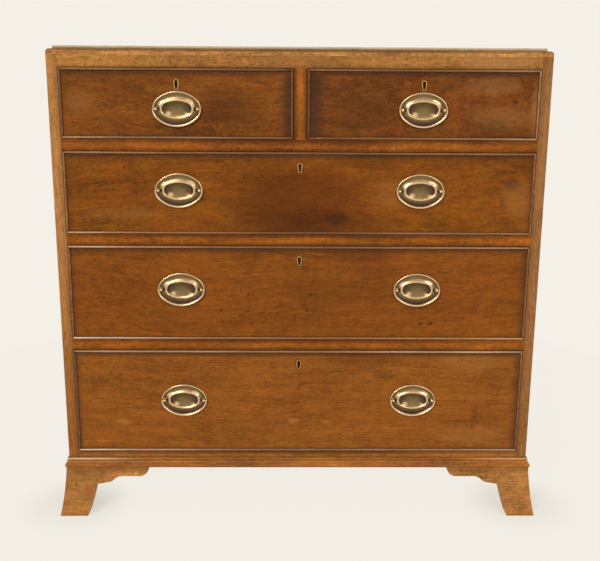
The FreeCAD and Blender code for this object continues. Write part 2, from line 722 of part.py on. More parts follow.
def lock_case(drawer):
    """The lock's outer form: its case, its back plate and the plate on the front's top edge."""
    top = front_size(drawer)[1][1]
    rear = FRONT + FRONT_THICKNESS
    plate_x = about(drawer[4], LOCK_WIDTH + 2 * LOCK_FLANGE)
    case = block(about(drawer[4], LOCK_WIDTH), (LOCK_FACE, rear), (top - LOCK_HEIGHT, top))
    back_plate = block(plate_x, (rear - LOCK_PLATE_THICKNESS, rear), (top - LOCK_HEIGHT, top))
    top_plate = block(plate_x, (LOCK_FACE, rear), (top - LOCK_PLATE_THICKNESS, top))
    return joined([case, back_plate, top_plate])


def bolt_space(drawer, clearance):
    """The bolt at rest, its top level with the lock's, with clearance around and below it."""
    top = front_size(drawer)[1][1]
    x = about(drawer[4], BOLT_WIDTH + 2 * clearance)
    y = about(BOLT_Y, BOLT_THICKNESS + 2 * clearance)
    return block(x, y, (top - BOLT_LENGTH - clearance, top))


def lock(drawer):
    """The lock, open behind the keyhole for the key and above for its bolt."""
    lobe_z = lobe_height(drawer)
    key_z = (lobe_z - KEYHOLE_LENGTH, lobe_z + KEYHOLE_LOBE_RADIUS)
    key_x = about(drawer[4], 2 * KEYHOLE_LOBE_RADIUS)
    key_space = block(key_x, span(LOCK_FACE, KEY_POCKET_DEPTH), key_z)
    return lock_case(drawer).cut([bolt_space(drawer, BOLT_CLEARANCE), key_space])


def handle_centres(drawer):
    z = CEILING_OF[drawer[1]] - HANDLE_DROP[drawer[1]]
    return [Vector(x, FRONT, z) for x in drawer[3]]


def post_places(centre):
    half = Vector(POST_SPACING / 2, 0, 0)
    return [centre - half, centre + half]


def drawer_front(drawer):
    """The front board: rebated for the beads, and cut for sides, bottom, lock, key and posts."""
    x, z = front_size(drawer)
    rear = FRONT + FRONT_THICKNESS
    face_slab = block(inset(x, BEAD_THICKNESS), span(FRONT, BEAD_DEPTH), inset(z, BEAD_THICKNESS))
    board = joined([face_slab, block(x, (FRONT + BEAD_DEPTH, rear), z)])
    cuts = [drawer_bottom(drawer), lock_case(drawer)]
    for side_x in side_widths(drawer):
        cuts += front_tails(drawer, side_x)
    lobe_z = lobe_height(drawer)
    cuts.append(keyhole(drawer[4], lobe_z, (FRONT, rear)))
    cuts.append(keyhole(drawer[4], lobe_z, span(FRONT, ESCUTCHEON_DEPTH), ESCUTCHEON_LINE))
    for centre in handle_centres(drawer):
        cuts += [square_bar(place, POST_HOLE_WIDTH, FRONT_THICKNESS) for place in post_places(centre)]
    return board.cut(cuts)


def cockbeads(drawer):
    """Four beads with eased noses, mitred at the corners."""
    x, z = front_size(drawer)
    rear = FRONT + BEAD_DEPTH
    nose = FRONT - BEAD_PROJECTION
    ahead = Vector(0, BEAD_PROJECTION + BEAD_DEPTH, 0)

    def strip(low, along, inward):
        """A bead from the corner low: along it, and inward across its thickness."""
        across = inward * BEAD_THICKNESS
        fall = Vector(0, BEAD_NOSE, 0)
        tip = Vector(low.x, nose, low.z)
        base = Vector(low.x, rear, low.z)
        section = polygon([
            base,
            tip + fall,
            tip + (across - inward * BEAD_NOSE_WIDTH) / 2,
            tip + (across + inward * BEAD_NOSE_WIDTH) / 2,
            tip + fall + across,
            base + across,
        ])
        end = low + along
        unit = along / along.Length
        mitred = polygon([
            Vector(p.x, nose, p.z)
            for p in (low, low + across + unit * BEAD_THICKNESS, end + across - unit * BEAD_THICKNESS, end)
        ]).extrude(ahead)
        return section.extrude(along).common(mitred)

    right = Vector(x[1] - x[0], 0, 0)
    up = Vector(0, 0, z[1] - z[0])
    corner = Vector(x[0], 0, z[0])
    return [
        strip(corner, right, Vector(0, 0, 1)),
        strip(corner + up, right, Vector(0, 0, -1)),
        strip(corner, up, Vector(1, 0, 0)),
        strip(corner + right, up, Vector(-1, 0, 0)),
    ]


# ---- handles ----
def lower_half_oval(half_width, half_height, end_radius):
    """Points on the lower half of an oval of tangent arcs: (point, outward direction) pairs."""
    end_x = half_width - end_radius
    fall = half_height - end_radius
    # the flank's arc touches both end arcs; its centre lies this far above the oval's
    lift = (end_x**2 - fall**2) / (2 * fall)
    flank_radius = half_height + lift
    slant = math.atan2(end_x, lift)
    points = []

    def add(centre, radius, angle):
        outward = Vector(math.sin(angle), 0, -math.cos(angle))
        points.append((centre + outward * radius, outward))

    for n in range(END_STEPS // 2):
        turn = (math.pi / 2 - slant) * n / (END_STEPS // 2)
        add(Vector(end_x, 0, 0), end_radius, math.pi / 2 - turn)
    for n in range(FLANK_STEPS + 1):
        add(Vector(0, 0, lift), flank_radius, slant - 2 * slant * n / FLANK_STEPS)
    for n in range(1, END_STEPS // 2 + 1):
        turn = (math.pi / 2 - slant) * n / (END_STEPS // 2)
        add(Vector(-end_x, 0, 0), end_radius, -slant - turn)
    return points


def plate_line(inset_by, height):
    """Points round the plate, at a distance inside its edge and a height off the drawer's face."""
    lower = lower_half_oval(PLATE_HALF_WIDTH, PLATE_HALF_HEIGHT, PLATE_END_RADIUS)
    points = [point - outward * inset_by for point, outward in lower]
    upper = [Vector(-p.x, 0, -p.z) for p in points]
    return [Vector(p.x, -height, p.z) for p in points[:-1] + upper[:-1]]


def plate(centre):
    """The oval plate: a raised rim, a hollow, and a raised ring round a dished middle."""
    outer = [plate_line(*step) for step in ((0, 0), PLATE_RIM, PLATE_HOLLOW_START)]
    inner = [plate_line(*step) for step in (PLATE_HOLLOW_END, PLATE_RING, PLATE_DISH)]
    oval = joined([skinned(outer), skinned(inner)]).translated(centre)
    depth = PLATE_RING[1]
    mouths = [place - Vector(0, depth, 0) for place in post_places(centre)]
    return oval.cut([square_bar(mouth, POST_HOLE_WIDTH, depth) for mouth in mouths])


def post(place, inward):
    """A post: a head in front holed for the bail's pin, a square shank through the front, a nut."""
    base = place - Vector(0, PLATE_HOLLOW_HEIGHT, 0)
    tip = place - Vector(0, BAIL_AXIS_HEIGHT + POST_HEAD_REACH, 0)
    rear = place + Vector(0, FRONT_THICKNESS, 0)
    head = round_bar(tip, POST_HEAD_RADIUS, POST_HEAD_SIDES, base.y - tip.y)
    shank = square_bar(base, POST_SHANK_WIDTH, rear.y - base.y + NUT_THICKNESS + POST_END)
    nut = square_bar(rear, NUT_WIDTH, NUT_THICKNESS)
    pin_room = 2 * (BAIL_PIN_RADIUS + BAIL_PIN_CLEARANCE)
    mouth = place.x - inward * POST_HEAD_RADIUS
    bottom = mouth + inward * (BAIL_PIN_LENGTH + BAIL_PIN_CLEARANCE)
    hole_x = (min(mouth, bottom), max(mouth, bottom))
    hole = block(hole_x, about(place.y - BAIL_AXIS_HEIGHT, pin_room), about(place.z, pin_room))
    return joined([head, shank, nut]).cut(hole)


def handle(centre):
    left, right = post_places(centre)
    return [plate(centre), post(left, 1), post(right, -1)]


def bail_section(point, outward, radius):
    """The bail's section at a point of its line, square to the line."""
    corners = []
    for n in range(BAIL_SIDES):
        angle = 2 * math.pi * (n + 0.5) / BAIL_SIDES
        corners.append(point + (outward * math.cos(angle) + Vector(0, math.sin(angle), 0)) * radius)
    return corners


def bail(centre):
    """The bail hanging from its posts: a rod bent to an oval, with a pin turned in at each end."""
    line = lower_half_oval(BAIL_HALF_WIDTH, BAIL_DROP, BAIL_SHOULDER_RADIUS)
    sections = [bail_section(point, outward, BAIL_RADIUS) for point, outward in line]
    # the tips stay on a circle about the pins, so that they clear the plate as the bail swings
    rise = Vector(0, 0, BAIL_RADIUS * math.sin(BAIL_TIP_TURN))
    tip_radius = BAIL_RADIUS * math.cos(BAIL_TIP_TURN)
    tips = [bail_section(point + rise, outward, tip_radius) for point, outward in (line[0], line[-1])]
    pieces = [skinned(tips[:1] + sections + tips[1:])]
    pin_end = POST_SPACING / 2 + POST_HEAD_RADIUS - BAIL_PIN_LENGTH
    for side in (-1, 1):
        start = Vector(side * BAIL_HALF_WIDTH, 0, 0)
        end = Vector(side * pin_end, 0, 0)
        pin_ends = [bail_section(at, Vector(0, 0, 1), BAIL_PIN_RADIUS) for at in (start, end)]
        pieces.append(skinned(pin_ends))
    return joined(pieces).translated(centre - Vector(0, BAIL_AXIS_HEIGHT, 0))


# ---- the chest ----
def write_case():
    side = side_panel()
    foot = front_foot()
    rear_foot = back_foot()
    write("top_board", [top_board()])
    write("side_right", [side])
    write("side_left", [mirrored(side)])
    write("bottom_board", [bottom_board()])
    write("back_boards", back_boards())
    write("top_rail", [rail("short")])
    write("drawer_rails", [rail(row) for row in ("upper", "middle", "lower")])
    write("bottom_rail", [bottom_rail()])
    write("centre_divider", [centre_divider()])
    write("dustboards", dustboards())
    write("runners", runners())
    write("drawer_stops", drawer_stops())
    write("base_moulding", base_moulding())
    write("front_foot_left", foot)
    write("front_foot_right", [mirrored(piece) for piece in foot])
    write("back_foot_left", rear_foot)
    write("back_foot_right", [mirrored(piece) for piece in rear_foot])


def write_drawer(drawer):
    name = drawer[0]
    centres = handle_centres(drawer)
    write(name + "_front", [drawer_front(drawer)])
    write(name + "_cockbeads", cockbeads(drawer))
    write(name + "_box", drawer_box(drawer))
    write(name + "_bottom", [drawer_bottom(drawer)])
    write(name + "_lock", [lock(drawer)])
    write(name + "_lock_bolt", [bolt_space(drawer, 0.0)])
    brasses = [escutcheon(drawer)]
    for centre in centres:
        brasses += handle(centre)
    write(name + "_brasses", brasses)
    if len(centres) == 1:
        write(name + "_bail", [bail(centres[0])])
    else:
        write(name + "_bail_left", [bail(centres[0])])
        write(name + "_bail_right", [bail(centres[1])])


os.makedirs("parts", exist_ok=True)
write_case()
for drawer in DRAWERS:
    write_drawer(drawer)
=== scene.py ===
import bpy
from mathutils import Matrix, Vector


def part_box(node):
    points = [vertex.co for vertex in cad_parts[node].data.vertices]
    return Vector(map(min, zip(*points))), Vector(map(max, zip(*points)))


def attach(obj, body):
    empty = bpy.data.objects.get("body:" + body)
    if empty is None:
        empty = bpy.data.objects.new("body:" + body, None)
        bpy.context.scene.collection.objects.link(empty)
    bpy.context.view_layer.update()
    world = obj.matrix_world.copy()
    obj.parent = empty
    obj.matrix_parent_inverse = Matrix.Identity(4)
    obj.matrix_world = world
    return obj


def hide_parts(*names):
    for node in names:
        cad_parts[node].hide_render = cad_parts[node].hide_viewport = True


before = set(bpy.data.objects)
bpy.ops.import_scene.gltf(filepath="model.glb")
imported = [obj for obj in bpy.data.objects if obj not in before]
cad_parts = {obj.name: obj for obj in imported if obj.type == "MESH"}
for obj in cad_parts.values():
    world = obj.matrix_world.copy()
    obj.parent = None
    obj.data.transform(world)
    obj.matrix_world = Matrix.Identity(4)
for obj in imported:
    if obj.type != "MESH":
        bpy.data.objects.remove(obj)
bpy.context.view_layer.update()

import math

import bmesh
import bpy
from mathutils import Matrix, Vector

MM = 0.001
DRAWERS = ("left_drawer", "right_drawer", "upper_drawer", "middle_drawer", "lower_drawer")


def linear(*srgb):
    """A colour given as 0 to 255 values, as the linear one that a shader takes."""
    values = [v / 255 for v in srgb]
    return tuple(v / 12.92 if v <= 0.04045 else ((v + 0.055) / 1.055) ** 2.4 for v in values) + (1.0,)


# ---------------------------------------------------------------- node helpers
class Nodes:
    """Short calls for building one material's or the world's node tree."""

    def __init__(self, tree):
        self.tree = tree
        tree.nodes.clear()

    def add(self, kind, settings=None, **inputs):
        """A new node. An input is written with _ for each space in its name."""
        node = self.tree.nodes.new(kind)
        for key, value in (settings or {}).items():
            setattr(node, key, value)
        self.put_all(node, {key.replace("_", " "): value for key, value in inputs.items()})
        return node

    def put(self, node, key, value):
        socket = node.inputs[key]
        if isinstance(value, bpy.types.NodeSocket):
            self.tree.links.new(value, socket)
        else:
            socket.default_value = value

    def put_all(self, node, values):
        for key, value in values.items():
            self.put(node, key, value)

    def math(self, operation, a, b=0.0, c=0.0, clamp=False):
        node = self.add("ShaderNodeMath", {"operation": operation, "use_clamp": clamp})
        self.put_all(node, {0: a, 1: b, 2: c})
        return node.outputs[0]

    def span(self, value, low, high, to_low=0.0, to_high=1.0):
        """A smooth step from to_low to to_high as the value goes from low to high."""
        node = self.add("ShaderNodeMapRange", {"interpolation_type": "SMOOTHSTEP"})
        self.put_all(node, {0: value, 1: low, 2: high, 3: to_low, 4: to_high})
        return node.outputs[0]

    def mix(self, factor, a, b, blend="MIX"):
        node = self.add("ShaderNodeMix", {"data_type": "RGBA", "blend_type": blend})
        self.put_all(node, {0: factor, 6: a, 7: b})
        return node.outputs[2]

    def ramp(self, factor, stops):
        """A colour ramp through stops of (place, 0 to 255 colour)."""
        node = self.add("ShaderNodeValToRGB")
        self.put(node, 0, factor)
        elements = node.color_ramp.elements
        while len(elements) < len(stops):
            elements.new(0.5)
        for element, (place, colour) in zip(elements, stops):
            element.position = place
            element.color = linear(*colour)
        return node.outputs[0]

    def noise(self, vector, scale=1.0, detail=3.0, roughness=0.5, distortion=0.0, colour=False):
        node = self.add("ShaderNodeTexNoise", None, Vector=vector, Scale=scale, Detail=detail,
                        Roughness=roughness, Distortion=distortion)
        return node.outputs[1 if colour else 0]

    def grain(self, vector, along, across, detail=3.0, roughness=0.5, distortion=0.0):
        """Noise with one scale along the grain and another across it."""
        return self.noise(self.scaled(vector, along, across), 1.0, detail, roughness, distortion)

    def sway(self, noise, amount, base):
        """base, moved up and down by a noise, by up to half of amount."""
        return self.math("MULTIPLY_ADD", self.math("SUBTRACT", noise, 0.5), amount, base)

    def shake(self, vector, scale, detail, roughness, amount):
        """A random offset in all three directions, up to half of amount each way."""
        offset = self.noise(vector, scale, detail, roughness, colour=True)
        return self.vector_math("SCALE", self.vector_math("SUBTRACT", offset, (0.5, 0.5, 0.5)), amount)

    def vector_math(self, operation, a, b=(0.0, 0.0, 0.0)):
        node = self.add("ShaderNodeVectorMath", {"operation": operation})
        self.put(node, 0, a)
        self.put(node, "Scale" if operation == "SCALE" else 1, b)
        return node.outputs[1 if operation == "LENGTH" else 0]

    def scaled(self, vector, along, across):
        return self.vector_math("MULTIPLY", vector, (along, across, across))

    def parts(self, vector):
        return self.add("ShaderNodeSeparateXYZ", None, Vector=vector).outputs

    def blob(self, place, x, z, half_width, half_height, strength, soft=0.35):
        """A soft oval patch on a drawer front or another face that looks along Y; sizes in mm."""
        off = self.vector_math("SUBTRACT", place, (x * MM, 0.0, z * MM))
        off = self.vector_math("MULTIPLY", off, (1 / (half_width * MM), 0.0, 1 / (half_height * MM)))
        return self.span(self.vector_math("LENGTH", off), 1.0, soft, 0.0, strength)

    def grime_and_painted_light(self):
        """The mesh's own value: 0 where it is worn bright or has a painted highlight, 1 where dirty or
        painted in shade.
        """
        return self.add("ShaderNodeAttribute", {"attribute_name": "grime_and_painted_light"}).outputs["Fac"]

    def surface(self, colour, rough, height, bump, depth, **settings):
        """The finished material: a Principled shader under a bump of this strength and depth in metres."""
        relief = self.add("ShaderNodeBump", None, Strength=bump, Distance=depth, Height=height)
        shader = self.add("ShaderNodeBsdfPrincipled", None, Base_Color=colour, Roughness=rough,
                          Normal=relief.outputs[0], **settings)
        self.add("ShaderNodeOutputMaterial", None, Surface=shader.outputs[0])

    def either(self, share, first, second, output):
        """Wires two shaders to an output node, the second by the given share."""
        both = self.add("ShaderNodeMixShader")
        self.put_all(both, {0: share, 1: first.outputs[0], 2: second.outputs[0]})
        self.add(output, None, Surface=both.outputs[0])


def new_material(name):
    material = bpy.data.materials.new(name)
    material.use_nodes = True
    return material, Nodes(material.node_tree)


# ---------------------------------------------------------------- timber
GRAIN_TURN = {"X": (0, 0, 0), "Y": (0, 0, math.pi / 2), "Z": (0, math.pi / 2, 0)}
# each noise in a timber's figure: scale along and across the grain, detail, roughness, distortion
LAYERS = {
    "clouds": (5.0, 11.0),
    "blotches": (34.0, 52.0, 3.0, 0.55),
    "streaks": (2.4, 70.0, 5.0, 0.6, 0.1),
    "lines": (6.0, 260.0, 3.0, 0.6),
    "fine": (40.0, 420.0, 3.0, 0.6),
    "small": (130.0, 240.0, 2.0),
    "pores": (95.0, 1500.0, 2.0),
    "warmth": (14.0, 24.0, 4.0, 0.6),
}
# how strongly the noises move the tone, for each unit of wood()'s settings
CLOUD_TONE, STREAK_TONE, BLOTCH_TONE, SMALL_TONE, TICK_TONE = 4.2, 3.2, 4.0, 5, 3.0
# the same for two noises without a setting, and the most that the small noise moves it
LINE_TONE, FINE_TONE, MOST_SMALL_TONE = 0.45, 0.5, 0.8
# a timber's tones as shares of its mean colour, with a power for each channel
TONES = ((0.0, 0.58), (0.3, 0.83), (0.5, 1.0), (0.7, 1.13), (1.0, 1.38))
TONE_POWERS = (1.0, 1.08, 1.2)
# colour factors that the warmth noise runs between
OLIVE, RUSSET = (0.9, 1.06, 0.86), (1.1, 0.93, 1.1)
# the dark of dirt in pores, flecks and corners; in corners and inside drawer beads it is also painted shade
GRIME_AND_SHADE = linear(50, 32, 24)
# noises given by scale, detail and roughness: the grain's bends, a mark's ragged outline, dents
BEND_NOISE, RAGGED_NOISE, DENT_NOISE = (3.2, 2.0, 0.5), (70.0, 3.0, 0.6), (26.0, 2.0, 0.4)
# how far the grain bends for each unit of swirl, and the share of that along it, across it and up
BEND_SIZE, BEND_WAYS = 6, (0.25, 1.0, 1.0)
# how far a ragged outline strays (m); a mark narrower than this (half, in mm), or this many times longer
# than wide, keeps a clean one
RAGGED_SIZE, CLEAN_WIDTH, CLEAN_RATIO = 0.022, 5.5, 12
# short ticks across the grain: scales, detail and roughness
TICKS = (230.0, 45.0, 3.0, 0.6)
# from and to values of a noise, and what they become: the pores' dirt, and how unevenly the dirt and painted
# shade in corners, and the painted sheen on an edge, lie
PORES, UNEVEN = (0.6, 0.72, 0.0, 0.4), (0.3, 0.7, 0.7, 1.0)
# flecks: scales along and across, cell distance from none to full, and the noise that says where they are
FLECK_SCALES, FLECK_CELLS, FLECK_NOISE, FLECK_AREAS = (95.0, 150.0), (0.24, 0.1), (38.0, 2.0), (0.52, 0.6)
# how upright a face has to be for the painted sheen on an edge: lean of its normal, from full to none
UPRIGHT = (0.5, 0.95, 1.0, 0.0)
# dirt and painted shade in corners: reach in metres and the openness at which they are full and gone
CORNER_REACH, CORNER_SPAN = 0.01, (0.4, 0.97)
# how far the grime and painted shade by an edge start from it, and how much their border wanders, in shares
# of its width
EDGE_START, EDGE_WANDER = 0.12, -0.3
# bump depths in metres
WOOD_DEPTH, BRASS_DEPTH = 0.0006, 0.0002


def shades(mean):
    """A wood's tones, dark to light, round its mean colour; the dark are redder and the light yellower."""
    return [(place, [min(255, value * factor ** power) for value, power in zip(mean, TONE_POWERS)])
            for place, factor in TONES]


def grime_and_shade_by_edges(n, coordinates, blotches, edges):
    """The share of grime and painted shade inside the box (low, high), by its left, right, bottom and top
    edges.
    """
    (low, high), widths = edges
    x, _, z = n.parts(coordinates)
    ways = (n.math("SUBTRACT", x, low.x), n.math("SUBTRACT", high.x, x),
            n.math("SUBTRACT", z, low.z), n.math("SUBTRACT", high.z, z))
    share = None
    for way, (width, strength) in zip(ways, widths):
        way = n.sway(blotches, EDGE_WANDER * width * MM, way)
        border = n.span(way, EDGE_START * width * MM, width * MM, strength, 0.0)
        share = border if share is None else n.math("MAXIMUM", share, border)
    return share


def wood(name, mean, grain, shift, cloud=0.2, streak=0.2, mottle=0.12, swirl=0.012, ticks=0.0,
         hue=0.5, specks=0.6, roughness=(0.36, 0.5), specular=0.1, bump=0.25, dirt_and_shade=0.6,
         patches=(), edges=None, fade=None, painted_sheen=None, painted_shine=None):
    """Polished timber: cloudy figure, streaks and pores along the grain, dark flecks, and dirt and painted
    shade in corners.

    patches are (colour, blob sizes) marks on a face, and edges the grime and painted shade inside a drawer
    front's beads. fade is (low z, high z, factor of each channel at the low end) for a slow change of tone,
    and the setting after it (colour, low z, high z) gives a painted sheen, a pale painted reflection, on the
    upright face of an edge. The last setting gives the tones, from a painted highlight to painted shade,
    that the mesh's own value runs through; no mean colour is needed then."""
    material, n = new_material(name)
    coordinates = n.add("ShaderNodeTexCoord").outputs["Object"]
    place = n.add("ShaderNodeMapping", {"vector_type": "POINT"}, Vector=coordinates, Location=shift,
                  Rotation=GRAIN_TURN[grain]).outputs[0]
    bend = n.shake(place, *BEND_NOISE, swirl * BEND_SIZE)
    curved = n.vector_math("ADD", place, n.vector_math("MULTIPLY", bend, BEND_WAYS))
    layer = {key: n.grain(curved, *sizes) for key, sizes in LAYERS.items()}
    uneven = n.span(layer["blotches"], *UNEVEN)

    if painted_shine:
        colour = n.ramp(n.sway(layer["streaks"], 0.6, n.grime_and_painted_light()), painted_shine)
    else:
        tone = 0.0
        for key, amount in (("clouds", cloud * CLOUD_TONE), ("streaks", streak * STREAK_TONE),
                            ("blotches", mottle * BLOTCH_TONE), ("lines", LINE_TONE), ("fine", FINE_TONE),
                            ("small", min(MOST_SMALL_TONE, mottle * SMALL_TONE))):
            tone = n.sway(layer[key], amount, tone)
        if ticks:
            tone = n.sway(n.grain(place, *TICKS), ticks * TICK_TONE, tone)
        colour = n.ramp(n.math("ADD", tone, 0.5, clamp=True), shades(mean))
        olive, russet = (tuple(1 + (v - 1) * hue for v in factors) + (1.0,) for factors in (OLIVE, RUSSET))
        warmth = n.span(layer["warmth"], 0.3, 0.7)
        colour = n.mix(1.0, colour, n.mix(warmth, olive, russet), "MULTIPLY")
    pores = n.span(layer["pores"], *PORES)
    colour = n.mix(pores, colour, GRIME_AND_SHADE)

    if fade:
        low, high, factor = fade
        share = n.span(n.sway(layer["clouds"], 0.25, n.parts(coordinates)[2]), low, high)
        colour = n.mix(1.0, colour, n.mix(share, factor + (1.0,), (1.0, 1.0, 1.0, 1.0)), "MULTIPLY")
    if patches:
        shaken = n.vector_math("ADD", coordinates, n.shake(coordinates, *RAGGED_NOISE, RAGGED_SIZE))
        for mark, blob in patches:
            wide, narrow = max(blob[2:4]), min(blob[2:4])
            ragged = narrow > CLEAN_WIDTH and wide < CLEAN_RATIO * narrow
            colour = n.mix(n.blob(shaken if ragged else coordinates, *blob), colour, linear(*mark))
    cells = n.add("ShaderNodeTexVoronoi", None, Vector=n.scaled(place, *FLECK_SCALES), Scale=1.0).outputs[0]
    flecked = n.span(n.noise(place, *FLECK_NOISE), *FLECK_AREAS, 0.0, specks)
    flecks = n.math("MULTIPLY", n.span(cells, *FLECK_CELLS), flecked)
    colour = n.mix(flecks, colour, GRIME_AND_SHADE)
    # a painted sheen, a pale painted reflection, on the upright face of an edge
    if painted_sheen:
        sheen_colour, low, high = painted_sheen
        lean = n.math("ABSOLUTE", n.parts(n.add("ShaderNodeNewGeometry").outputs["Normal"])[2])
        painted_highlight = n.span(n.parts(coordinates)[2], low, high, 0.0, uneven)
        colour = n.mix(n.math("MULTIPLY", painted_highlight, n.span(lean, *UPRIGHT)), colour, linear(*sheen_colour))
    # grime and painted shade inside a drawer front's beads
    if edges:
        colour = n.mix(grime_and_shade_by_edges(n, coordinates, layer["blotches"], edges), colour, GRIME_AND_SHADE)
    # dirt and painted shade in corners, by how closed in each point is
    corner = n.add("ShaderNodeAmbientOcclusion", {"samples": 8, "only_local": False}, Distance=CORNER_REACH)
    crevice = n.math("MULTIPLY", n.span(corner.outputs[1], *CORNER_SPAN, dirt_and_shade, 0.0), uneven)
    colour = n.mix(crevice, colour, GRIME_AND_SHADE)

    sheen = n.math("ADD", n.math("MULTIPLY", layer["clouds"], 0.6), n.math("MULTIPLY", layer["fine"], 0.4))
    rough = n.math("MULTIPLY_ADD", crevice, 0.2, n.span(sheen, 0.3, 0.7, *roughness))
    dents = n.noise(place, *DENT_NOISE)
    height = 0.0
    for relief, amount in ((layer["streaks"], 0.35), (layer["fine"], 0.5), (pores, -0.5), (flecks, -1.2),
                           (dents, 1.6)):
        height = n.math("MULTIPLY_ADD", relief, amount, height)
    n.surface(colour, rough, height, bump, WOOD_DEPTH, Specular_IOR_Level=specular)
    return material


def brass(name, tones, roughness, cloudiness):
    """Old brass; the mesh's own value runs from bright metal, worn or with painted highlights, to deep
    tarnish and painted shade.
    """
    material, n = new_material(name)
    place = n.add("ShaderNodeTexCoord").outputs["Object"]
    cloudy = n.noise(place, 160.0, 4.0, 0.6)
    fine = n.noise(place, 900.0, 3.0, 0.6)
    mask = n.sway(cloudy, cloudiness, n.grime_and_painted_light())
    rough = n.math("MULTIPLY_ADD", mask, 0.12, n.span(fine, 0.3, 0.7, *roughness))
    height = n.math("MULTIPLY_ADD", fine, 0.3, cloudy)
    n.surface(n.ramp(mask, tones), rough, height, 0.04, BRASS_DEPTH, Metallic=1.0)
    return material


# ---------------------------------------------------------------- materials
DARK = (52, 28, 12)
UMBER = (84, 46, 14)
PALE = (164, 106, 50)
TAN = (160, 112, 64)
AMBER = (180, 112, 48)
# dirt and painted shade along the gaps beside the drawers
GAP_DIRT_AND_SHADE = (74, 34, 6)

# mm: the gap round a drawer's beads, a bead's width, and half sizes that reach past the whole chest
GAP = 0.9
BEAD_WIDTH = 4.5
ALL_ACROSS = 1000.0
ALL_UP = 9000.0
BEADS = {drawer: [corner * 1000 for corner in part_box(drawer + "_cockbeads")] for drawer in DRAWERS}


def band(colour, z, half_height, strength, soft=0.0):
    """A mark that runs all along a rail or a moulding."""
    return colour, (0.0, z, ALL_ACROSS, half_height, strength, soft)


def upright_band(colour, x, half_width, strength, soft=0.0):
    """A mark that runs all the way up a stile, a divider or a board."""
    return colour, (x, 500.0, half_width, ALL_UP, strength, soft)


def rail_mark(colour, drawer, x, half_width, strength):
    """A darker stretch of the rail under a drawer."""
    return colour, (x, BEADS[drawer][0].z - 9.0, half_width, 11.0, strength)


def side_wood(side, mean, shift, fade):
    edge = BEADS["right_drawer"][1].x + GAP
    # dirt and painted shade down the stile beside the drawers' gaps
    line = upright_band((96, 60, 26), -edge if side == "left" else edge, 13.0, 0.32)
    return wood("side_" + side + "_wood", mean, "Z", shift, cloud=0.08, streak=0.12, mottle=0.07, hue=0.25,
                fade=fade, patches=[line])


# dirt and painted shade along the rails, under and over each row of drawers; under a bead its shadow is
# painted
rail_dirt_and_shade_lines = []
for drawer in DRAWERS[1:]:
    low, high = BEADS[drawer]
    rail_dirt_and_shade_lines += [band(GAP_DIRT_AND_SHADE, low.z - GAP - 2.5, 8.5, 0.75), band(GAP_DIRT_AND_SHADE, high.z + GAP + 1.5, 6.5, 0.6)]

side_woods = {
    "left": side_wood("left", (171, 118, 63), (0.31, 0.2, 0.7), (0.05, 0.75, (0.7, 0.57, 0.42))),
    "right": side_wood("right", (149, 101, 57), (1.31, 0.6, 0.1), (0.12, 0.8, (0.9, 0.85, 0.72))),
}
# the top's pale band along its fillet is a painted reflection, and the dark band below it a painted shadow in
# the quirk
top_wood = wood(
    "top_wood", (168, 116, 60), "X", (0.9, 0.1, 0.35), mottle=0.16, painted_sheen=((216, 207, 178), 0.9080, 0.9132),
    patches=[band((80, 56, 34), 906.8, 3.8, 0.8)])
top_rail_wood = wood(
    "top_rail_wood", (157, 105, 51), "X", (0.15, 0.42, 0.9), streak=0.1, mottle=0.14, ticks=0.1, specks=0.9,
    # dirt and painted shade along the gap over the left drawer's top bead
    patches=[band((104, 70, 30), BEADS["left_drawer"][1].z + GAP + 1.0, 6.0, 0.45),
             ((196, 140, 86), (350.0, 892.0, 90.0, 30.0, 0.35)),
             ((134, 88, 42), (115.0, 892.0, 70.0, 30.0, 0.3)),
             ((128, 84, 44), (0.0, 894.0, 110.0, 30.0, 0.4))])
rail_wood = wood(
    "rail_wood", (145, 81, 22), "X", (0.55, 0.6, 0.2), mottle=0.14, hue=0.35, ticks=0.09, specks=0.8,
    patches=[rail_mark((96, 48, 10), "left_drawer", 115.0, 100.0, 0.6),
             rail_mark((104, 56, 14), "upper_drawer", -95.0, 100.0, 0.45),
             rail_mark((112, 62, 18), "middle_drawer", -190.0, 180.0, 0.3)] + rail_dirt_and_shade_lines)
bottom_rail_wood = wood(
    "bottom_rail_wood", (151, 95, 38), "X", (1.55, 0.6, 0.2), mottle=0.1, hue=0.3, patches=rail_dirt_and_shade_lines[-2:])
divider_wood = wood(
    "divider_wood", (142, 82, 23), "Z", (0.1, 0.8, 0.45),
    # dirt and painted shade down the divider beside the drawers' gaps
    patches=[(GAP_DIRT_AND_SHADE, (BEADS["left_drawer"][1].x + GAP + 0.5, 803.0, 9.0, 400.0, 0.7, 0.0)),
             (GAP_DIRT_AND_SHADE, (BEADS["right_drawer"][0].x - GAP - 0.5, 803.0, 8.0, 400.0, 0.7, 0.0))])
moulding_wood = wood(
    "moulding_wood", (156, 97, 40), "X", (0.2, 0.5, 0.1), mottle=0.09, hue=0.3, roughness=(0.3, 0.4),
    specular=0.15,
    # painted highlights along the moulding's top bead at its left and right, and painted shadow along its
    # lower edge
    patches=[((240, 208, 184), (-440.0, 116.4, 150.0, 2.6, 0.65, 0.2)),
             ((226, 186, 150), (440.0, 116.4, 130.0, 2.6, 0.5, 0.2)),
             band((92, 48, 16), 99.6, 3.2, 0.7)])
foot_wood = wood(
    "foot_wood", (167, 112, 56), "X", (0.45, 0.15, 0.6), mottle=0.22, hue=0.8,
    # painted shade across the tops of the feet, under the moulding
    patches=[band((112, 70, 30), 97.0, 14.0, 0.5, 0.4),
             ((142, 94, 46), (-440.0, 40.0, 70.0, 100.0, 0.45)),
             ((190, 130, 70), (440.0, 40.0, 70.0, 100.0, 0.2)),
             ((96, 62, 34), (-443.6, 63.5, 4.5, 4.5, 0.8)),
             ((150, 72, 36), (-418.0, 50.0, 6.0, 18.0, 0.45))])
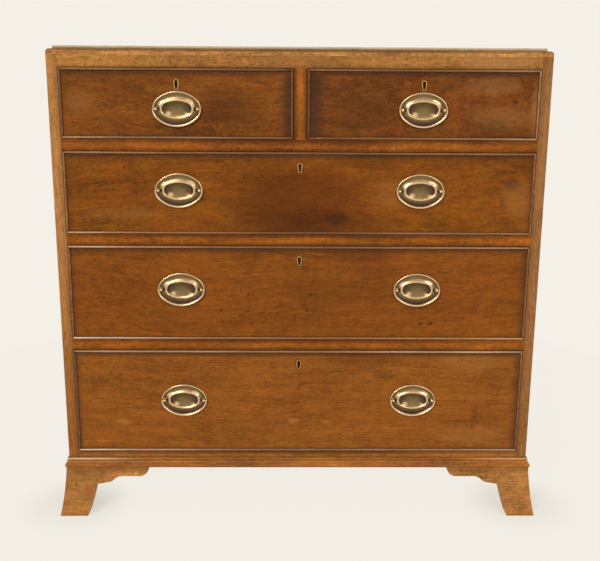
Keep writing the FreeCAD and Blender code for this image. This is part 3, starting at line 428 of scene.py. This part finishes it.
# the beads' tones, from a painted highlight on the crest to painted shade on the sides
bead_wood = wood(
    "bead_wood", None, "X", (0.3, 0.3, 0.3), specks=0.5, roughness=(0.2, 0.3), specular=0.25,
    bump=0.12, dirt_and_shade=0.2,
    painted_shine=[(0.0, (236, 206, 184)), (0.25, (198, 162, 128)), (0.5, (158, 116, 78)), (0.75, (124, 82, 47)),
          (1.0, (95, 60, 33))])
lining_wood = wood(
    "lining_wood", (184, 147, 100), "Y", (0.6, 0.35, 0.5), cloud=0.1, streak=0.24, mottle=0.04, hue=0.2,
    specks=0.2, roughness=(0.6, 0.75), dirt_and_shade=0.4)
# two of the four back boards differ in tone, and dirt fills the joints between them
BACK_BOARD = 223.75
back_wood = wood(
    "back_wood", (150, 112, 70), "Z", (0.4, 0.75, 0.25), cloud=0.12, streak=0.26, mottle=0.06, hue=0.2,
    specks=0.35, roughness=(0.65, 0.8), dirt_and_shade=0.5,
    patches=[upright_band((118, 86, 52), -335.6, 111.9, 0.3, 0.98),
             upright_band((176, 136, 88), 111.9, 111.9, 0.3, 0.98)]
    + [upright_band((38, 26, 16), x, 1.4, 0.85, 0.3) for x in (-BACK_BOARD, 0.0, BACK_BOARD)])


def front_wood(drawer, mean, shift, widths, patches, **figure):
    """A drawer front's timber, with the grime and painted shade inside its beads and the marks on its face.
    """
    low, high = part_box(drawer + "_front")
    bead = Vector((BEAD_WIDTH * MM, 0, BEAD_WIDTH * MM))
    return wood(drawer + "_wood", mean, "X", shift, edges=((low + bead, high - bead), widths),
                patches=patches, dirt_and_shade=0.2, **figure)


# each front's mean colour, place in the figure, widths and strengths of the grime and painted shade at its
# left, right,
# bottom and top, and its marks: colour, (x, z, half width, half height, strength)
front_woods = {
    "left_drawer": front_wood(
        "left_drawer", (116, 65, 16), (0.12, 0.3, 0.55), ((8, 0.05), (28, 0.7), (5, 0.15), (13, 0.55)),
        [(UMBER, (-363, 858, 40, 10, 0.4)), (PALE, (-400, 815, 42, 26, 0.3)),
         (UMBER, (-130, 800, 60, 40, 0.5)), (PALE, (-225, 838, 70, 12, 0.2)),
         (DARK, (-352, 835, 9, 5, 0.4))],
        cloud=0.18, mottle=0.14, swirl=0.02, hue=0.55),
    "right_drawer": front_wood(
        "right_drawer", (115, 63, 17), (1.32, 0.9, 0.15), ((40, 0.7), (7, 0.05), (6, 0.15), (13, 0.55)),
        [(DARK, (392, 818, 9, 7, 0.7)), (DARK, (332, 842, 10, 8, 0.5)), (DARK, (164, 831, 16, 10, 0.4)),
         (UMBER, (110, 800, 80, 50, 0.45)), (TAN, (370, 790, 80, 26, 0.25)),
         (TAN, (352, 846, 70, 22, 0.25)), (DARK, (92, 850, 30, 12, 0.4)),
         ((158, 110, 66), (434, 803, 16, 70, 0.6, 0.2))],
        cloud=0.18, mottle=0.14, swirl=0.02, hue=0.55),
    "upper_drawer": front_wood(
        "upper_drawer", (123, 68, 11), (0.72, 0.5, 1.05), ((14, 0.2), (12, 0.12), (4, 0.1), (13, 0.6)),
        [((84, 36, 4), (0, 640, 170, 90, 0.62)), ((70, 33, 5), (10, 592, 230, 34, 0.5)),
         ((78, 38, 6), (125, 712, 90, 24, 0.4)), (DARK, (66, 602, 34, 15, 0.6)),
         (DARK, (399, 669, 20, 15, 0.6)), (DARK, (382, 634, 10, 16, 0.35)),
         (PALE, (410, 640, 40, 50, 0.35)), (PALE, (-330, 610, 110, 16, 0.25)),
         (UMBER, (-300, 650, 30, 24, 0.3)), (PALE, (180, 650, 60, 36, 0.25)),
         (UMBER, (-100, 630, 70, 30, 0.25))],
        cloud=0.16, mottle=0.12, swirl=0.02, hue=0.5),
    "middle_drawer": front_wood(
        "middle_drawer", (126, 69, 15), (1.85, 0.2, 0.6), ((14, 0.2), (17, 0.4), (3, 0.1), (13, 0.6)),
        [(DARK, (234, 397, 8.5, 6, 0.7)), (DARK, (251.5, 397, 8.5, 6, 0.7)),
         (UMBER, (60, 460, 130, 40, 0.3)), (DARK, (-359, 454, 2.4, 2.2, 0.7)),
         (DARK, (-293.5, 427, 2.6, 2.4, 0.7)), (DARK, (-149, 424, 4, 3.4, 0.75)),
         (DARK, (-90.6, 396, 3, 2.8, 0.8)), (DARK, (-96.5, 456, 3, 2.8, 0.8)),
         (DARK, (-100, 496, 13, 3.4, 0.5)), (DARK, (-14, 425.6, 3, 2.6, 0.6)),
         (DARK, (16, 424, 4.4, 2.6, 0.6)), (DARK, (21, 456, 4.5, 4.5, 0.6)),
         (UMBER, (150, 500, 70, 24, 0.3)), ((80, 40, 8), (115, 536, 100, 28, 0.5)),
         ((92, 50, 12), (-95, 538, 80, 22, 0.3))],
        cloud=0.11, streak=0.15, mottle=0.1, hue=0.35),
    "lower_drawer": front_wood(
        "lower_drawer", (135, 78, 23), (0.35, 1.2, 0.8), ((11, 0.3), (16, 0.45), (4, 0.1), (12, 0.7)),
        [(AMBER, (-344, 195, 20, 8, 0.5)), (AMBER, (-8, 197, 16, 9, 0.45)), (AMBER, (52, 196, 14, 7, 0.35)),
         (UMBER, (170, 290, 34, 14, 0.35)), (DARK, (328, 236, 3, 2.6, 0.6)),
         (UMBER, (349, 200, 10, 40, 0.4)), (DARK, (420, 226, 3, 2.6, 0.5)), (DARK, (0, 268, 3, 8, 0.4)),
         (UMBER, (-195, 282, 70, 14, 0.3)), (UMBER, (115, 326, 90, 24, 0.35)),
         (PALE, (340, 322, 90, 26, 0.4)), (PALE, (345, 165, 90, 26, 0.35))],
        cloud=0.09, streak=0.12, mottle=0.09, hue=0.3),
}

handle_brass = brass(
    "handle_brass", [(0.0, (229, 196, 153)), (0.2, (199, 162, 116)), (0.5, (142, 116, 82)),
                     (0.72, (102, 84, 46)), (0.88, (88, 66, 62)), (1.0, (46, 34, 24))],
    roughness=(0.16, 0.24), cloudiness=0.2)
# its darkest tone is painted shade on the walls of the keyhole
escutcheon_brass = brass(
    "escutcheon_brass", [(0.0, (188, 146, 86)), (0.4, (150, 108, 58)), (0.75, (92, 54, 22)),
                         (1.0, (22, 15, 10))],
    roughness=(0.4, 0.5), cloudiness=0.25)
# darker than the lock's own metal: painted shade seen through the keyhole
lock_metal = brass(
    "lock_metal", [(0.0, (96, 80, 50)), (0.5, (72, 57, 34)), (1.0, (40, 30, 20))],
    roughness=(0.34, 0.5), cloudiness=0.7)


# ---------------------------------------------------------------- CAD nodes kept as they are
WELD_DISTANCE = 0.00002
EASE_SEGMENTS = 2
SHARP_DEGREES = 35


def soften(node, width):
    """Eases a CAD node's sharp arrises without touching its own mesh."""
    weld = node.modifiers.new("weld", "WELD")
    weld.merge_threshold = WELD_DISTANCE
    ease = node.modifiers.new("ease", "BEVEL")
    ease.width = width
    ease.segments = EASE_SEGMENTS
    ease.limit_method = "ANGLE"
    ease.angle_limit = math.radians(SHARP_DEGREES)
    ease.harden_normals = True


def dress(material, *names, ease=0.0):
    for name in names:
        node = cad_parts[name]
        node.data.materials.clear()
        node.data.materials.append(material)
        if ease:
            soften(node, ease)


dress(top_wood, "top_board", ease=0.0004)
for side in ("left", "right"):
    dress(side_woods[side], "side_" + side, ease=0.0003)
dress(lining_wood, "bottom_board", "dustboards", "runners", "drawer_stops")
dress(back_wood, "back_boards")
dress(top_rail_wood, "top_rail")
dress(rail_wood, "drawer_rails")
dress(bottom_rail_wood, "bottom_rail")
dress(divider_wood, "centre_divider")
dress(moulding_wood, "base_moulding")
dress(foot_wood, "front_foot_left", "front_foot_right", "back_foot_left", "back_foot_right")
for drawer in DRAWERS:
    dress(front_woods[drawer], drawer + "_front")
    dress(lining_wood, drawer + "_box", drawer + "_bottom")
    dress(lock_metal, drawer + "_lock", drawer + "_lock_bolt")


# ---------------------------------------------------------------- mesh helpers
def new_object(name, mesh, material, body, slot, *nodes):
    mesh.materials.append(material)
    piece = bpy.data.objects.new(name, mesh)
    bpy.context.scene.collection.objects.link(piece)
    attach(piece, body)
    if nodes:
        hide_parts(*nodes)
    return piece


def mesh_of(name, verts, faces, grime_and_painted_light):
    """A smooth mesh with a value at each point for grime, tarnish and painted light and shade."""
    mesh = bpy.data.meshes.new(name)
    mesh.from_pydata([tuple(v) for v in verts], [], faces)
    layer = mesh.attributes.new("grime_and_painted_light", "FLOAT", "POINT")
    layer.data.foreach_set("value", grime_and_painted_light)
    bm = bmesh.new()
    bm.from_mesh(mesh)
    bmesh.ops.recalc_face_normals(bm, faces=bm.faces)
    for face in bm.faces:
        face.smooth = True
    bm.to_mesh(mesh)
    bm.free()
    return mesh


def rings_to_faces(count, size, base=0):
    """Quads between count closed rings of size points, numbered ring by ring from base."""
    faces = []
    for ring in range(count - 1):
        for k in range(size):
            a = base + ring * size + k
            b = base + ring * size + (k + 1) % size
            faces.append((a, b, b + size, a + size))
    return faces


def tube_faces(count, size, base=0):
    """The quads between rings, and a cap on the first and the last."""
    caps = [tuple(range(start, start + size)) for start in (base, base + (count - 1) * size)]
    return rings_to_faces(count, size, base) + caps


def circle(steps):
    """Cosine and sine of even turns round a circle."""
    turns = [2 * math.pi * k / steps for k in range(steps)]
    return [(math.cos(turn), math.sin(turn)) for turn in turns]


# ---------------------------------------------------------------- cockbeads
# how dark each drawer's beads are painted, from 0 for a pale painted highlight to 1 for painted shade: at the
# start, middle and end of the bottom, right, top and left bead, going round anticlockwise
BEAD_SHADING = {
    "left_drawer": ((0.35, 0.65, 0.75), (0.95, 0.95, 0.95), (0.75, 0.75, 0.55), (0.75, 0.75, 0.75)),
    "right_drawer": ((0.85, 0.68, 0.28), (0.5, 0.5, 0.5), (0.55, 0.75, 0.6), (0.98, 0.98, 0.98)),
    "upper_drawer": ((0.28, 0.75, 0.55), (0.7, 0.7, 0.7), (0.5, 0.88, 0.42), (0.62, 0.62, 0.62)),
    "middle_drawer": ((0.1, 0.62, 0.28), (0.75, 0.75, 0.75), (0.3, 0.8, 0.12), (0.7, 0.7, 0.7)),
    "lower_drawer": ((0.16, 0.64, 0.3), (0.75, 0.75, 0.75), (0.28, 0.54, 0.38), (0.9, 0.88, 0.85)),
}
BEAD_SPANS = 12
NOSE_DEPTH = 2.0
NOSE_STEPS = 12
# where across a bead the painted highlight on its crest lies, how far from there the painted shade is full
# again, and how fast
CREST, CREST_REACH, CREST_POWER = 0.45, 0.5, 3


def bead_frame(drawer):
    """Four mitred lengths with half-round noses round a drawer front, each painted with a highlight along its
    crest and shade on its sides.
    """
    low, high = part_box(drawer + "_cockbeads")
    thick = BEAD_WIDTH * MM
    deep = NOSE_DEPTH * MM
    rear = high.y
    nose = low.y
    profile = [(0.0, rear), (0.0, nose + deep)]
    for k in range(1, NOSE_STEPS):
        turn = math.pi * k / NOSE_STEPS
        profile.append((thick / 2 - thick / 2 * math.cos(turn), nose + deep * (1 - math.sin(turn))))
    profile += [(thick, nose + deep), (thick, rear)]
    # a painted highlight along the crest and painted shade on either side
    dirt_and_shade = [min(1.0, (abs(across / thick - CREST) / CREST_REACH) ** CREST_POWER) for across, _ in profile]
    corners = [(low.x, low.z, 1, 1), (high.x, low.z, -1, 1), (high.x, high.z, -1, -1), (low.x, high.z, 1, -1)]
    verts = []
    faces = []
    grime_and_painted_light = []
    for index, start in enumerate(corners):
        end = corners[(index + 1) % 4]
        first, middle, last = BEAD_SHADING[drawer][index]
        faces += tube_faces(BEAD_SPANS + 1, len(profile), len(verts))
        for station in range(BEAD_SPANS + 1):
            share = station / BEAD_SPANS
            tip = last if share > 0.5 else first
            # each bead's painted shading, from its middle out to its ends
            shading = middle + (tip - middle) * abs(2 * share - 1) ** 1.5
            x, z, in_x, in_z = (a + (b - a) * share for a, b in zip(start, end))
            verts += [Vector((x + in_x * across, y, z + in_z * across)) for across, y in profile]
            grime_and_painted_light += [shading + (1 - shading) * d for d in dirt_and_shade]
    mesh = mesh_of(drawer + "_bead_frame", verts, faces, grime_and_painted_light)
    mesh.polygons.foreach_set("use_smooth", [len(p.vertices) == 4 for p in mesh.polygons])
    new_object(drawer + "_bead_frame", mesh, bead_wood, drawer, "bead_wood", drawer + "_cockbeads")


# ---------------------------------------------------------------- handles
# mm: half width, half height and end radius of the plate and of the bail's line
PLATE_W, PLATE_H, PLATE_R = 44.5, 32.0, 24.0
BAIL_W, BAIL_H, BAIL_R = 43.1, 30.4, 22.0
# how much the plate's end radius shrinks for each mm of inset
END_EASE = 0.72
PLATE_STEPS = 120
POST_X = 38.1
NUT_Y = 22.0
BAIL_AXIS_Y = 4.5


def oval(half_width, half_height, end_radius, steps):
    """Points and outward directions round an oval of four tangent arcs, clockwise from its right end."""
    end_x = half_width - end_radius
    fall = half_height - end_radius
    lift = (end_x ** 2 - fall ** 2) / (2 * fall)
    flank = half_height + lift
    limit = math.pi / 2 - math.atan2(end_x, lift)
    points = []
    for k in range(steps):
        turn = 2 * math.pi * k / steps
        angle = turn % math.pi
        if angle > math.pi / 2:
            angle = math.pi - angle
        out = Vector((math.cos(angle), 0, math.sin(angle)))
        if angle <= limit:
            point = Vector((end_x, 0, 0)) + out * end_radius
        else:
            point = Vector((0, 0, -lift)) + out * flank
        sx = 1 if math.cos(turn) >= 0 else -1
        sz = -1 if math.sin(turn) >= 0 else 1
        points.append((Vector((sx * point.x, 0, sz * point.z)), Vector((sx * out.x, 0, sz * out.z))))
    return points


# inset from the plate's edge, height off the drawer, depth of tarnish
PLATE_PROFILE = [
    (0.0, 0.0, 0.7), (0.0, 0.9, 0.3), (0.25, 1.55, 0.15), (0.75, 2.05, 0.05), (1.4, 2.2, 0.0),
    (2.1, 2.0, 0.2), (2.8, 1.5, 0.5), (3.4, 1.15, 0.72), (4.2, 1.0, 0.78), (5.6, 0.95, 0.78),
    (7.0, 1.0, 0.74), (8.2, 1.04, 0.68), (9.4, 1.14, 0.62), (10.6, 1.32, 0.56), (11.6, 1.56, 0.5),
    (12.4, 1.85, 0.46), (13.1, 2.2, 0.42), (13.8, 2.68, 0.35), (14.4, 3.1, 0.2), (14.9, 3.34, 0.05),
    (15.4, 3.42, 0.0), (16.0, 3.38, 0.0), (16.6, 3.1, 0.05), (17.2, 2.65, 0.25), (17.9, 2.2, 0.55),
    (18.8, 1.85, 0.6), (20.4, 1.6, 0.62),
]
# the dish inside the last of these: share of its size, height, depth of tarnish; at 0, its middle
DISH_PROFILE = ((0.75, 1.42, 0.6), (0.5, 1.3, 0.58), (0.25, 1.22, 0.56))
DISH_HEIGHT, DISH_DIRT = 1.2, 0.56
# insets at which the rim ends, the slope may carry painted highlights, the ring begins and the dish begins
RIM_END, SLOPE_START, RING_START, DISH_START = 3.0, 8.0, 14.5, 17.5
# painted highlights on the slope and in the dish: place and half sizes
SLOPE_HIGHLIGHTS = ((-27.0, 11.0, 9.0, 7.0), (23.0, 14.0, 11.0, 7.0))
DISH_HIGHLIGHTS = ((-15.5, -8.0, 7.0, 6.0), (18.0, -8.0, 5.0, 4.0))
SLOPE_SHINE, DISH_SHINE = 0.9, 1.1
# painted shade gained for each mm down the slope, which faces down there, and for each mm up the dish, whose
# lower wall faces up to the light
SLOPE_SHADE_FALL, DISH_SHADE_RISE = 0.006, 0.013
# the painted shadow inside each post: its middle, half sizes, reach in those and strength
POST_SHADOW_X, POST_SHADOW_HALF_X, POST_SHADOW_HALF_Z, POST_SHADOW_REACH, POST_SHADOW_STRENGTH = 33.6, 3.0, 3.6, 1.3, 0.6
# the dish: where its ends are, how much darker they are, and its least and most tarnish and painted shade
DISH_END, END_DARK, LEAST_DULL, MOST_DULL = 24, 0.34, 0.36, 0.92


def painted_highlight(point, spots):
    """1 in the middle of a painted highlight, falling to 0 at its edge."""
    return max(max(0.0, 1 - math.hypot((point.x - x) / half_x, (point.z - z) / half_z))
               for x, z, half_x, half_z in spots)


def tarnish_and_painted_light(point, depth, inset):
    """Tarnish, with a painted shadow by the posts' inner sides, painted shade low on the slope and painted
    highlights; the dish is dark at its ends and, as painted light, brighter lower down.
    """
    if inset < RIM_END or RING_START <= inset < DISH_START:
        return depth
    if inset < RING_START:
        away = math.hypot((abs(point.x) - POST_SHADOW_X) / POST_SHADOW_HALF_X, point.z / POST_SHADOW_HALF_Z)
        tarnish_and_shade = min(1.0, depth - SLOPE_SHADE_FALL * point.z + POST_SHADOW_STRENGTH * max(0.0, POST_SHADOW_REACH - away))
        painted_shine = painted_highlight(point, SLOPE_HIGHLIGHTS) if inset > SLOPE_START else 0.0
        return max(0.0, tarnish_and_shade - SLOPE_SHINE * painted_shine)
    ends = min(1.0, abs(point.x) / DISH_END)
    tarnish_and_shade = min(MOST_DULL, max(LEAST_DULL, depth + END_DARK * ends ** 3 + DISH_SHADE_RISE * point.z))
    return max(0.0, tarnish_and_shade - DISH_SHINE * painted_highlight(point, DISH_HIGHLIGHTS))


def plate(name, centre, body, nodes):
    """The stamped oval: rolled rim, hollow, swelling band, ring and dished middle."""
    rings = []
    for inset, height, dirt_and_shade in PLATE_PROFILE:
        line = oval(PLATE_W - inset, PLATE_H - inset, PLATE_R - END_EASE * inset, PLATE_STEPS)
        rings.append(([point for point, _ in line], height, dirt_and_shade, inset))
    last = rings[-1][0]
    for share, height, dirt_and_shade in DISH_PROFILE:
        rings.append(([point * share for point in last], height, dirt_and_shade, DISH_START))
    verts = [centre + point * MM - Vector((0, height * MM, 0))
             for points, height, _, _ in rings for point in points]
    grime_and_painted_light = [tarnish_and_painted_light(point, dirt_and_shade, inset) for points, _, dirt_and_shade, inset in rings for point in points]
    faces = rings_to_faces(len(rings), PLATE_STEPS)
    hub = len(verts)
    verts.append(centre - Vector((0, DISH_HEIGHT * MM, 0)))
    grime_and_painted_light.append(DISH_DIRT)
    base = hub - PLATE_STEPS
    faces += [(base + k, base + (k + 1) % PLATE_STEPS, hub) for k in range(PLATE_STEPS)]
    faces.append(tuple(range(PLATE_STEPS)))
    mesh = mesh_of(name, verts, faces, grime_and_painted_light)
    mesh.polygons[len(mesh.polygons) - 1].use_smooth = False
    new_object(name, mesh, handle_brass, body, "brass", *nodes)


def turned(name, place, profile, steps, body, direction=-1.0):
    """A turned piece along Y: profile gives (distance ahead of place, radius, grime) in mm."""
    verts = [place + Vector((cos * radius, direction * ahead, sin * radius)) * MM
             for ahead, radius, _ in profile for cos, sin in circle(steps)]
    grime_and_painted_light = [dirt_and_shade for _, _, dirt_and_shade in profile for _ in range(steps)]
    mesh = mesh_of(name, verts, tube_faces(len(profile), steps), grime_and_painted_light)
    new_object(name, mesh, handle_brass, body, "brass")


HEAD_PROFILE = [
    (0.9, 3.6, 0.8), (1.5, 3.6, 0.4), (1.9, 3.2, 0.3), (2.1, 2.5, 0.6), (2.6, 2.3, 0.5), (3.2, 2.55, 0.1),
    (4.0, 2.68, 0.0), (5.0, 2.7, 0.0), (5.9, 2.6, 0.0), (6.6, 2.25, 0.0), (7.2, 1.6, 0.0), (7.55, 0.9, 0.0),
    (7.7, 0.2, 0.0),
]
NUT_PROFILE = [(0.0, 4.6, 0.6), (0.4, 5.0, 0.3), (3.6, 5.0, 0.3), (4.0, 4.6, 0.4), (4.0, 2.3, 0.9),
               (5.2, 2.2, 0.4), (5.5, 1.8, 0.4)]
HEAD_STEPS, NUT_STEPS = 28, 6

# the bail's rod: points along it and round it, radius at its ends and how much it swells at the bottom
ROD_STEPS, ROD_SIDES = 96, 20
ROD_RADIUS, ROD_SWELL = 1.62, 0.36
# its rounded tips: height over the axis and radius, from the tip down
TIP_PROFILE = ((1.0, 0.55), (0.7, 1.25), (0.2, ROD_RADIUS))
# the pins on its axis: where they end, their radius and sides
PIN_END, PIN_RADIUS, PIN_SIDES = 37.7, 1.15, 12
# grime on the rod's back and on the pins
ROD_BACK_DIRT, PIN_DIRT = 0.25, 0.3


def bail(name, centre, body, node):
    """The swinging bail: a rod a little thicker at the bottom, with ball ends and pins turned inward."""
    half = oval(BAIL_W, BAIL_H, BAIL_R, ROD_STEPS * 2)[: ROD_STEPS + 1]
    start, end = ([(point + Vector((0, 0, up)), out, radius) for up, radius in TIP_PROFILE]
                  for point, out in (half[0], half[-1]))
    rod = [(point, out, ROD_RADIUS + ROD_SWELL * math.sin(math.pi * index / ROD_STEPS) ** 1.5)
           for index, (point, out) in enumerate(half)]
    line = start + rod + end[::-1]
    verts = []
    grime_and_painted_light = []
    for point, out, radius in line:
        for cos, sin in circle(ROD_SIDES):
            offset = (out * cos + Vector((0, sin, 0))) * radius
            verts.append(centre + (point + offset) * MM)
            grime_and_painted_light.append(ROD_BACK_DIRT if sin > 0.6 else 0.0)
    faces = tube_faces(len(line), ROD_SIDES)
    for side in (-1, 1):
        faces += tube_faces(2, PIN_SIDES, len(verts))
        for x in (BAIL_W, PIN_END):
            verts += [centre + Vector((side * x, sin * PIN_RADIUS, cos * PIN_RADIUS)) * MM
                      for cos, sin in circle(PIN_SIDES)]
            grime_and_painted_light += [PIN_DIRT] * PIN_SIDES
    new_object(name, mesh_of(name, verts, faces, grime_and_painted_light), handle_brass, body, "brass", node)


# ---------------------------------------------------------------- keyhole escutcheons
# mm: lobe radius, half width of the foot and height of the foot, of the brass and of the hole in it
KEYHOLE_OUTER = (6.4, 5.0, -15.0)
KEYHOLE_INNER = (2.9, 1.45, -12.2)
# the brass across: share of the way from outer to inner, depth in the wood, depth of tarnish; the walls of
# the hole are painted in shade at full depth
KEYHOLE_PROFILE = [
    (0.0, 0.0, 0.8), (0.0, -0.14, 0.78), (0.12, -0.3, 0.76), (0.28, -0.35, 0.72), (0.42, -0.38, 0.1),
    (0.88, -0.3, 0.05), (1.0, -0.14, 0.4), (1.0, 0.2, 1.0), (1.0, 3.0, 1.0), (0.0, 3.0, 1.0),
]
LOBE_STEPS = 28
# the foot of the brass is duller
FOOT_Z, FOOT_DIRT = -11, 0.35


def keyhole_line(radius, foot, low):
    """Points round a straight-flanked keyhole from its foot's right corner, in mm from its lobe's centre."""
    lean = math.asin((radius - foot) / math.hypot(foot, low))
    turns = [-lean + (math.pi + 2 * lean) * k / LOBE_STEPS for k in range(LOBE_STEPS + 1)]
    lobe = [(radius * math.cos(turn), radius * math.sin(turn)) for turn in turns]
    return [(foot, low)] + lobe + [(-foot, low)]


def escutcheon(name, place, body):
    """The brass thread let in round a keyhole, its face standing just proud of the wood."""
    verts = []
    grime_and_painted_light = []
    for share, depth, dirt_and_shade in KEYHOLE_PROFILE:
        shape = [a + (b - a) * share for a, b in zip(KEYHOLE_OUTER, KEYHOLE_INNER)]
        for x, z in keyhole_line(*shape):
            verts.append(place + Vector((x, depth, z)) * MM)
            grime_and_painted_light.append(max(dirt_and_shade, FOOT_DIRT) if z < FOOT_Z else dirt_and_shade)
    size = LOBE_STEPS + 3
    back = len(verts) - size
    faces = rings_to_faces(len(KEYHOLE_PROFILE), size)
    faces += [(k, (k + 1) % size, back + (k + 1) % size, back + k) for k in range(size)]
    new_object(name, mesh_of(name, verts, faces, grime_and_painted_light), escutcheon_brass, body, "brass")


# mm: each drawer's handles along X, their height, its lock along X and the height of the keyhole's lobe
SHORT_CENTRE = 224.75
LAYOUT = {
    "left_drawer": ((-SHORT_CENTRE,), 803.0, -SHORT_CENTRE, 851.0),
    "right_drawer": ((SHORT_CENTRE,), 803.0, SHORT_CENTRE, 851.0),
    "upper_drawer": ((-SHORT_CENTRE, SHORT_CENTRE), 654.5, 0.0, 701.5),
    "middle_drawer": ((-SHORT_CENTRE, SHORT_CENTRE), 465.0, 0.0, 525.0),
    "lower_drawer": ((-SHORT_CENTRE, SHORT_CENTRE), 241.0, 0.0, 318.5),
}
FRONT_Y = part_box("left_drawer_front")[0].y
for drawer, (handle_xs, handle_z, lock_x, lobe_z) in LAYOUT.items():
    bead_frame(drawer)
    sides = ("",) if len(handle_xs) == 1 else ("_left", "_right")
    for side, x in zip(sides, handle_xs):
        centre = Vector((x * MM, FRONT_Y, handle_z * MM))
        nodes = (drawer + "_brasses",) if side != "_right" else ()
        plate(drawer + "_plate" + side, centre, drawer, nodes)
        for end, sign in (("outer", -1), ("inner", 1)):
            post = centre + Vector((sign * POST_X * MM, 0, 0))
            turned(drawer + "_post" + side + "_" + end, post, HEAD_PROFILE, HEAD_STEPS, drawer)
            behind = post + Vector((0, NUT_Y * MM, 0))
            turned(drawer + "_nut" + side + "_" + end, behind, NUT_PROFILE, NUT_STEPS, drawer, direction=1.0)
        axis = centre - Vector((0, BAIL_AXIS_Y * MM, 0))
        bail_name = drawer + "_bail" + side
        bail(drawer + "_bail_ring" + side, axis, bail_name, bail_name)
    escutcheon(drawer + "_escutcheon", Vector((lock_x * MM, FRONT_Y, lobe_z * MM)), drawer)


# ---------------------------------------------------------------- floor, light and camera
BACKGROUND = linear(244, 240, 231)
STUDIO_LIGHT = (1.0, 0.97, 0.93, 1.0)
STUDIO_STRENGTH = 0.55
FLOOR_REACH = 14.0
# metres: the feet from the middle, and how far the floor darkens round a foot and under the whole chest
FEET = (0.46, 0.2, 0.0)
FOOT_SHADE = (0.02, 0.14, 0.62, 0.95)
CHEST_SHADE = (0.5, 1.3)


def seen_directly(n):
    """1 for camera, mirror and glass rays, which see the pale background."""
    light_path = n.add("ShaderNodeLightPath").outputs
    seen = n.math("MAXIMUM", light_path["Is Camera Ray"], light_path["Is Glossy Ray"])
    return n.math("MAXIMUM", seen, light_path["Is Transmission Ray"])


world = bpy.data.worlds.new("studio")
bpy.context.scene.world = world
world.use_nodes = True
n = Nodes(world.node_tree)
studio = n.add("ShaderNodeBackground", None, Color=STUDIO_LIGHT, Strength=STUDIO_STRENGTH)
plain = n.add("ShaderNodeBackground", None, Color=BACKGROUND, Strength=1.0)
n.either(seen_directly(n), studio, plain, "ShaderNodeOutputWorld")

material, n = new_material("floor")
paper = n.add("ShaderNodeBsdfDiffuse", None, Color=BACKGROUND)
glow = n.add("ShaderNodeEmission", None, Color=BACKGROUND, Strength=1.0)
place = n.add("ShaderNodeTexCoord").outputs["Object"]
from_foot = n.vector_math("SUBTRACT", n.vector_math("ABSOLUTE", place), FEET)
share = n.math("MAXIMUM", n.span(n.vector_math("LENGTH", from_foot), *FOOT_SHADE),
               n.span(n.vector_math("LENGTH", place), *CHEST_SHADE))
n.either(n.math("MULTIPLY", seen_directly(n), share), paper, glow, "ShaderNodeOutputMaterial")
mesh = bpy.data.meshes.new("floor")
mesh.from_pydata([(x * FLOOR_REACH, y * FLOOR_REACH, 0) for x, y in ((-1, -1), (1, -1), (1, 1), (-1, 1))], [],
                 [(0, 1, 2, 3)])
mesh.materials.append(material)
floor = bpy.data.objects.new("floor", mesh)
bpy.context.scene.collection.objects.link(floor)


def sun(name, towards, strength, angle, colour):
    """A wide sun: even light over the whole scene, shining towards a direction."""
    light = bpy.data.lights.new(name, "SUN")
    light.energy = strength
    light.angle = math.radians(angle)
    light.color = colour
    lamp = bpy.data.objects.new(name, light)
    lamp.rotation_euler = Vector(towards).to_track_quat("-Z", "Y").to_euler()
    bpy.context.scene.collection.objects.link(lamp)


sun("key", (0.45, 1.0, -0.75), 1.0, 22, (1.0, 0.97, 0.92))
sun("glint", (0.55, 0.76, -0.42), 0.6, 7, (1.0, 0.97, 0.96))
sun("fill", (-0.62, 1.0, -0.42), 0.4, 20, (0.97, 0.98, 1.0))

# the camera: focal length and image width in pixels, place in metres, and turns in radians
FOCAL_PX, IMAGE_WIDTH_PX, SENSOR_WIDTH = 881.66, 600, 36.0
EYE = (-0.02065, -1.86160, 0.87821)
YAW, PITCH, ROLL = -0.01351, 0.23742, 0.00620

camera = bpy.data.cameras.new("camera")
camera.sensor_width = SENSOR_WIDTH
camera.lens = FOCAL_PX / IMAGE_WIDTH_PX * SENSOR_WIDTH
camera.clip_start = 0.05
camera.clip_end = 100.0
eye = bpy.data.objects.new("camera", camera)
turn = Matrix.Rotation(YAW, 3, "Z")
forward = turn @ Vector((0, math.cos(PITCH), -math.sin(PITCH)))
level_up = turn @ Vector((0, math.sin(PITCH), math.cos(PITCH)))
level_right = turn @ Vector((1, 0, 0))
right = level_right * math.cos(ROLL) + level_up * math.sin(ROLL)
up = level_up * math.cos(ROLL) - level_right * math.sin(ROLL)
eye.matrix_world = Matrix.Translation(EYE) @ Matrix((right, up, -forward)).transposed().to_4x4()
bpy.context.scene.collection.objects.link(eye)
bpy.context.scene.camera = eye
bpy.context.scene.view_settings.view_transform = "Standard"
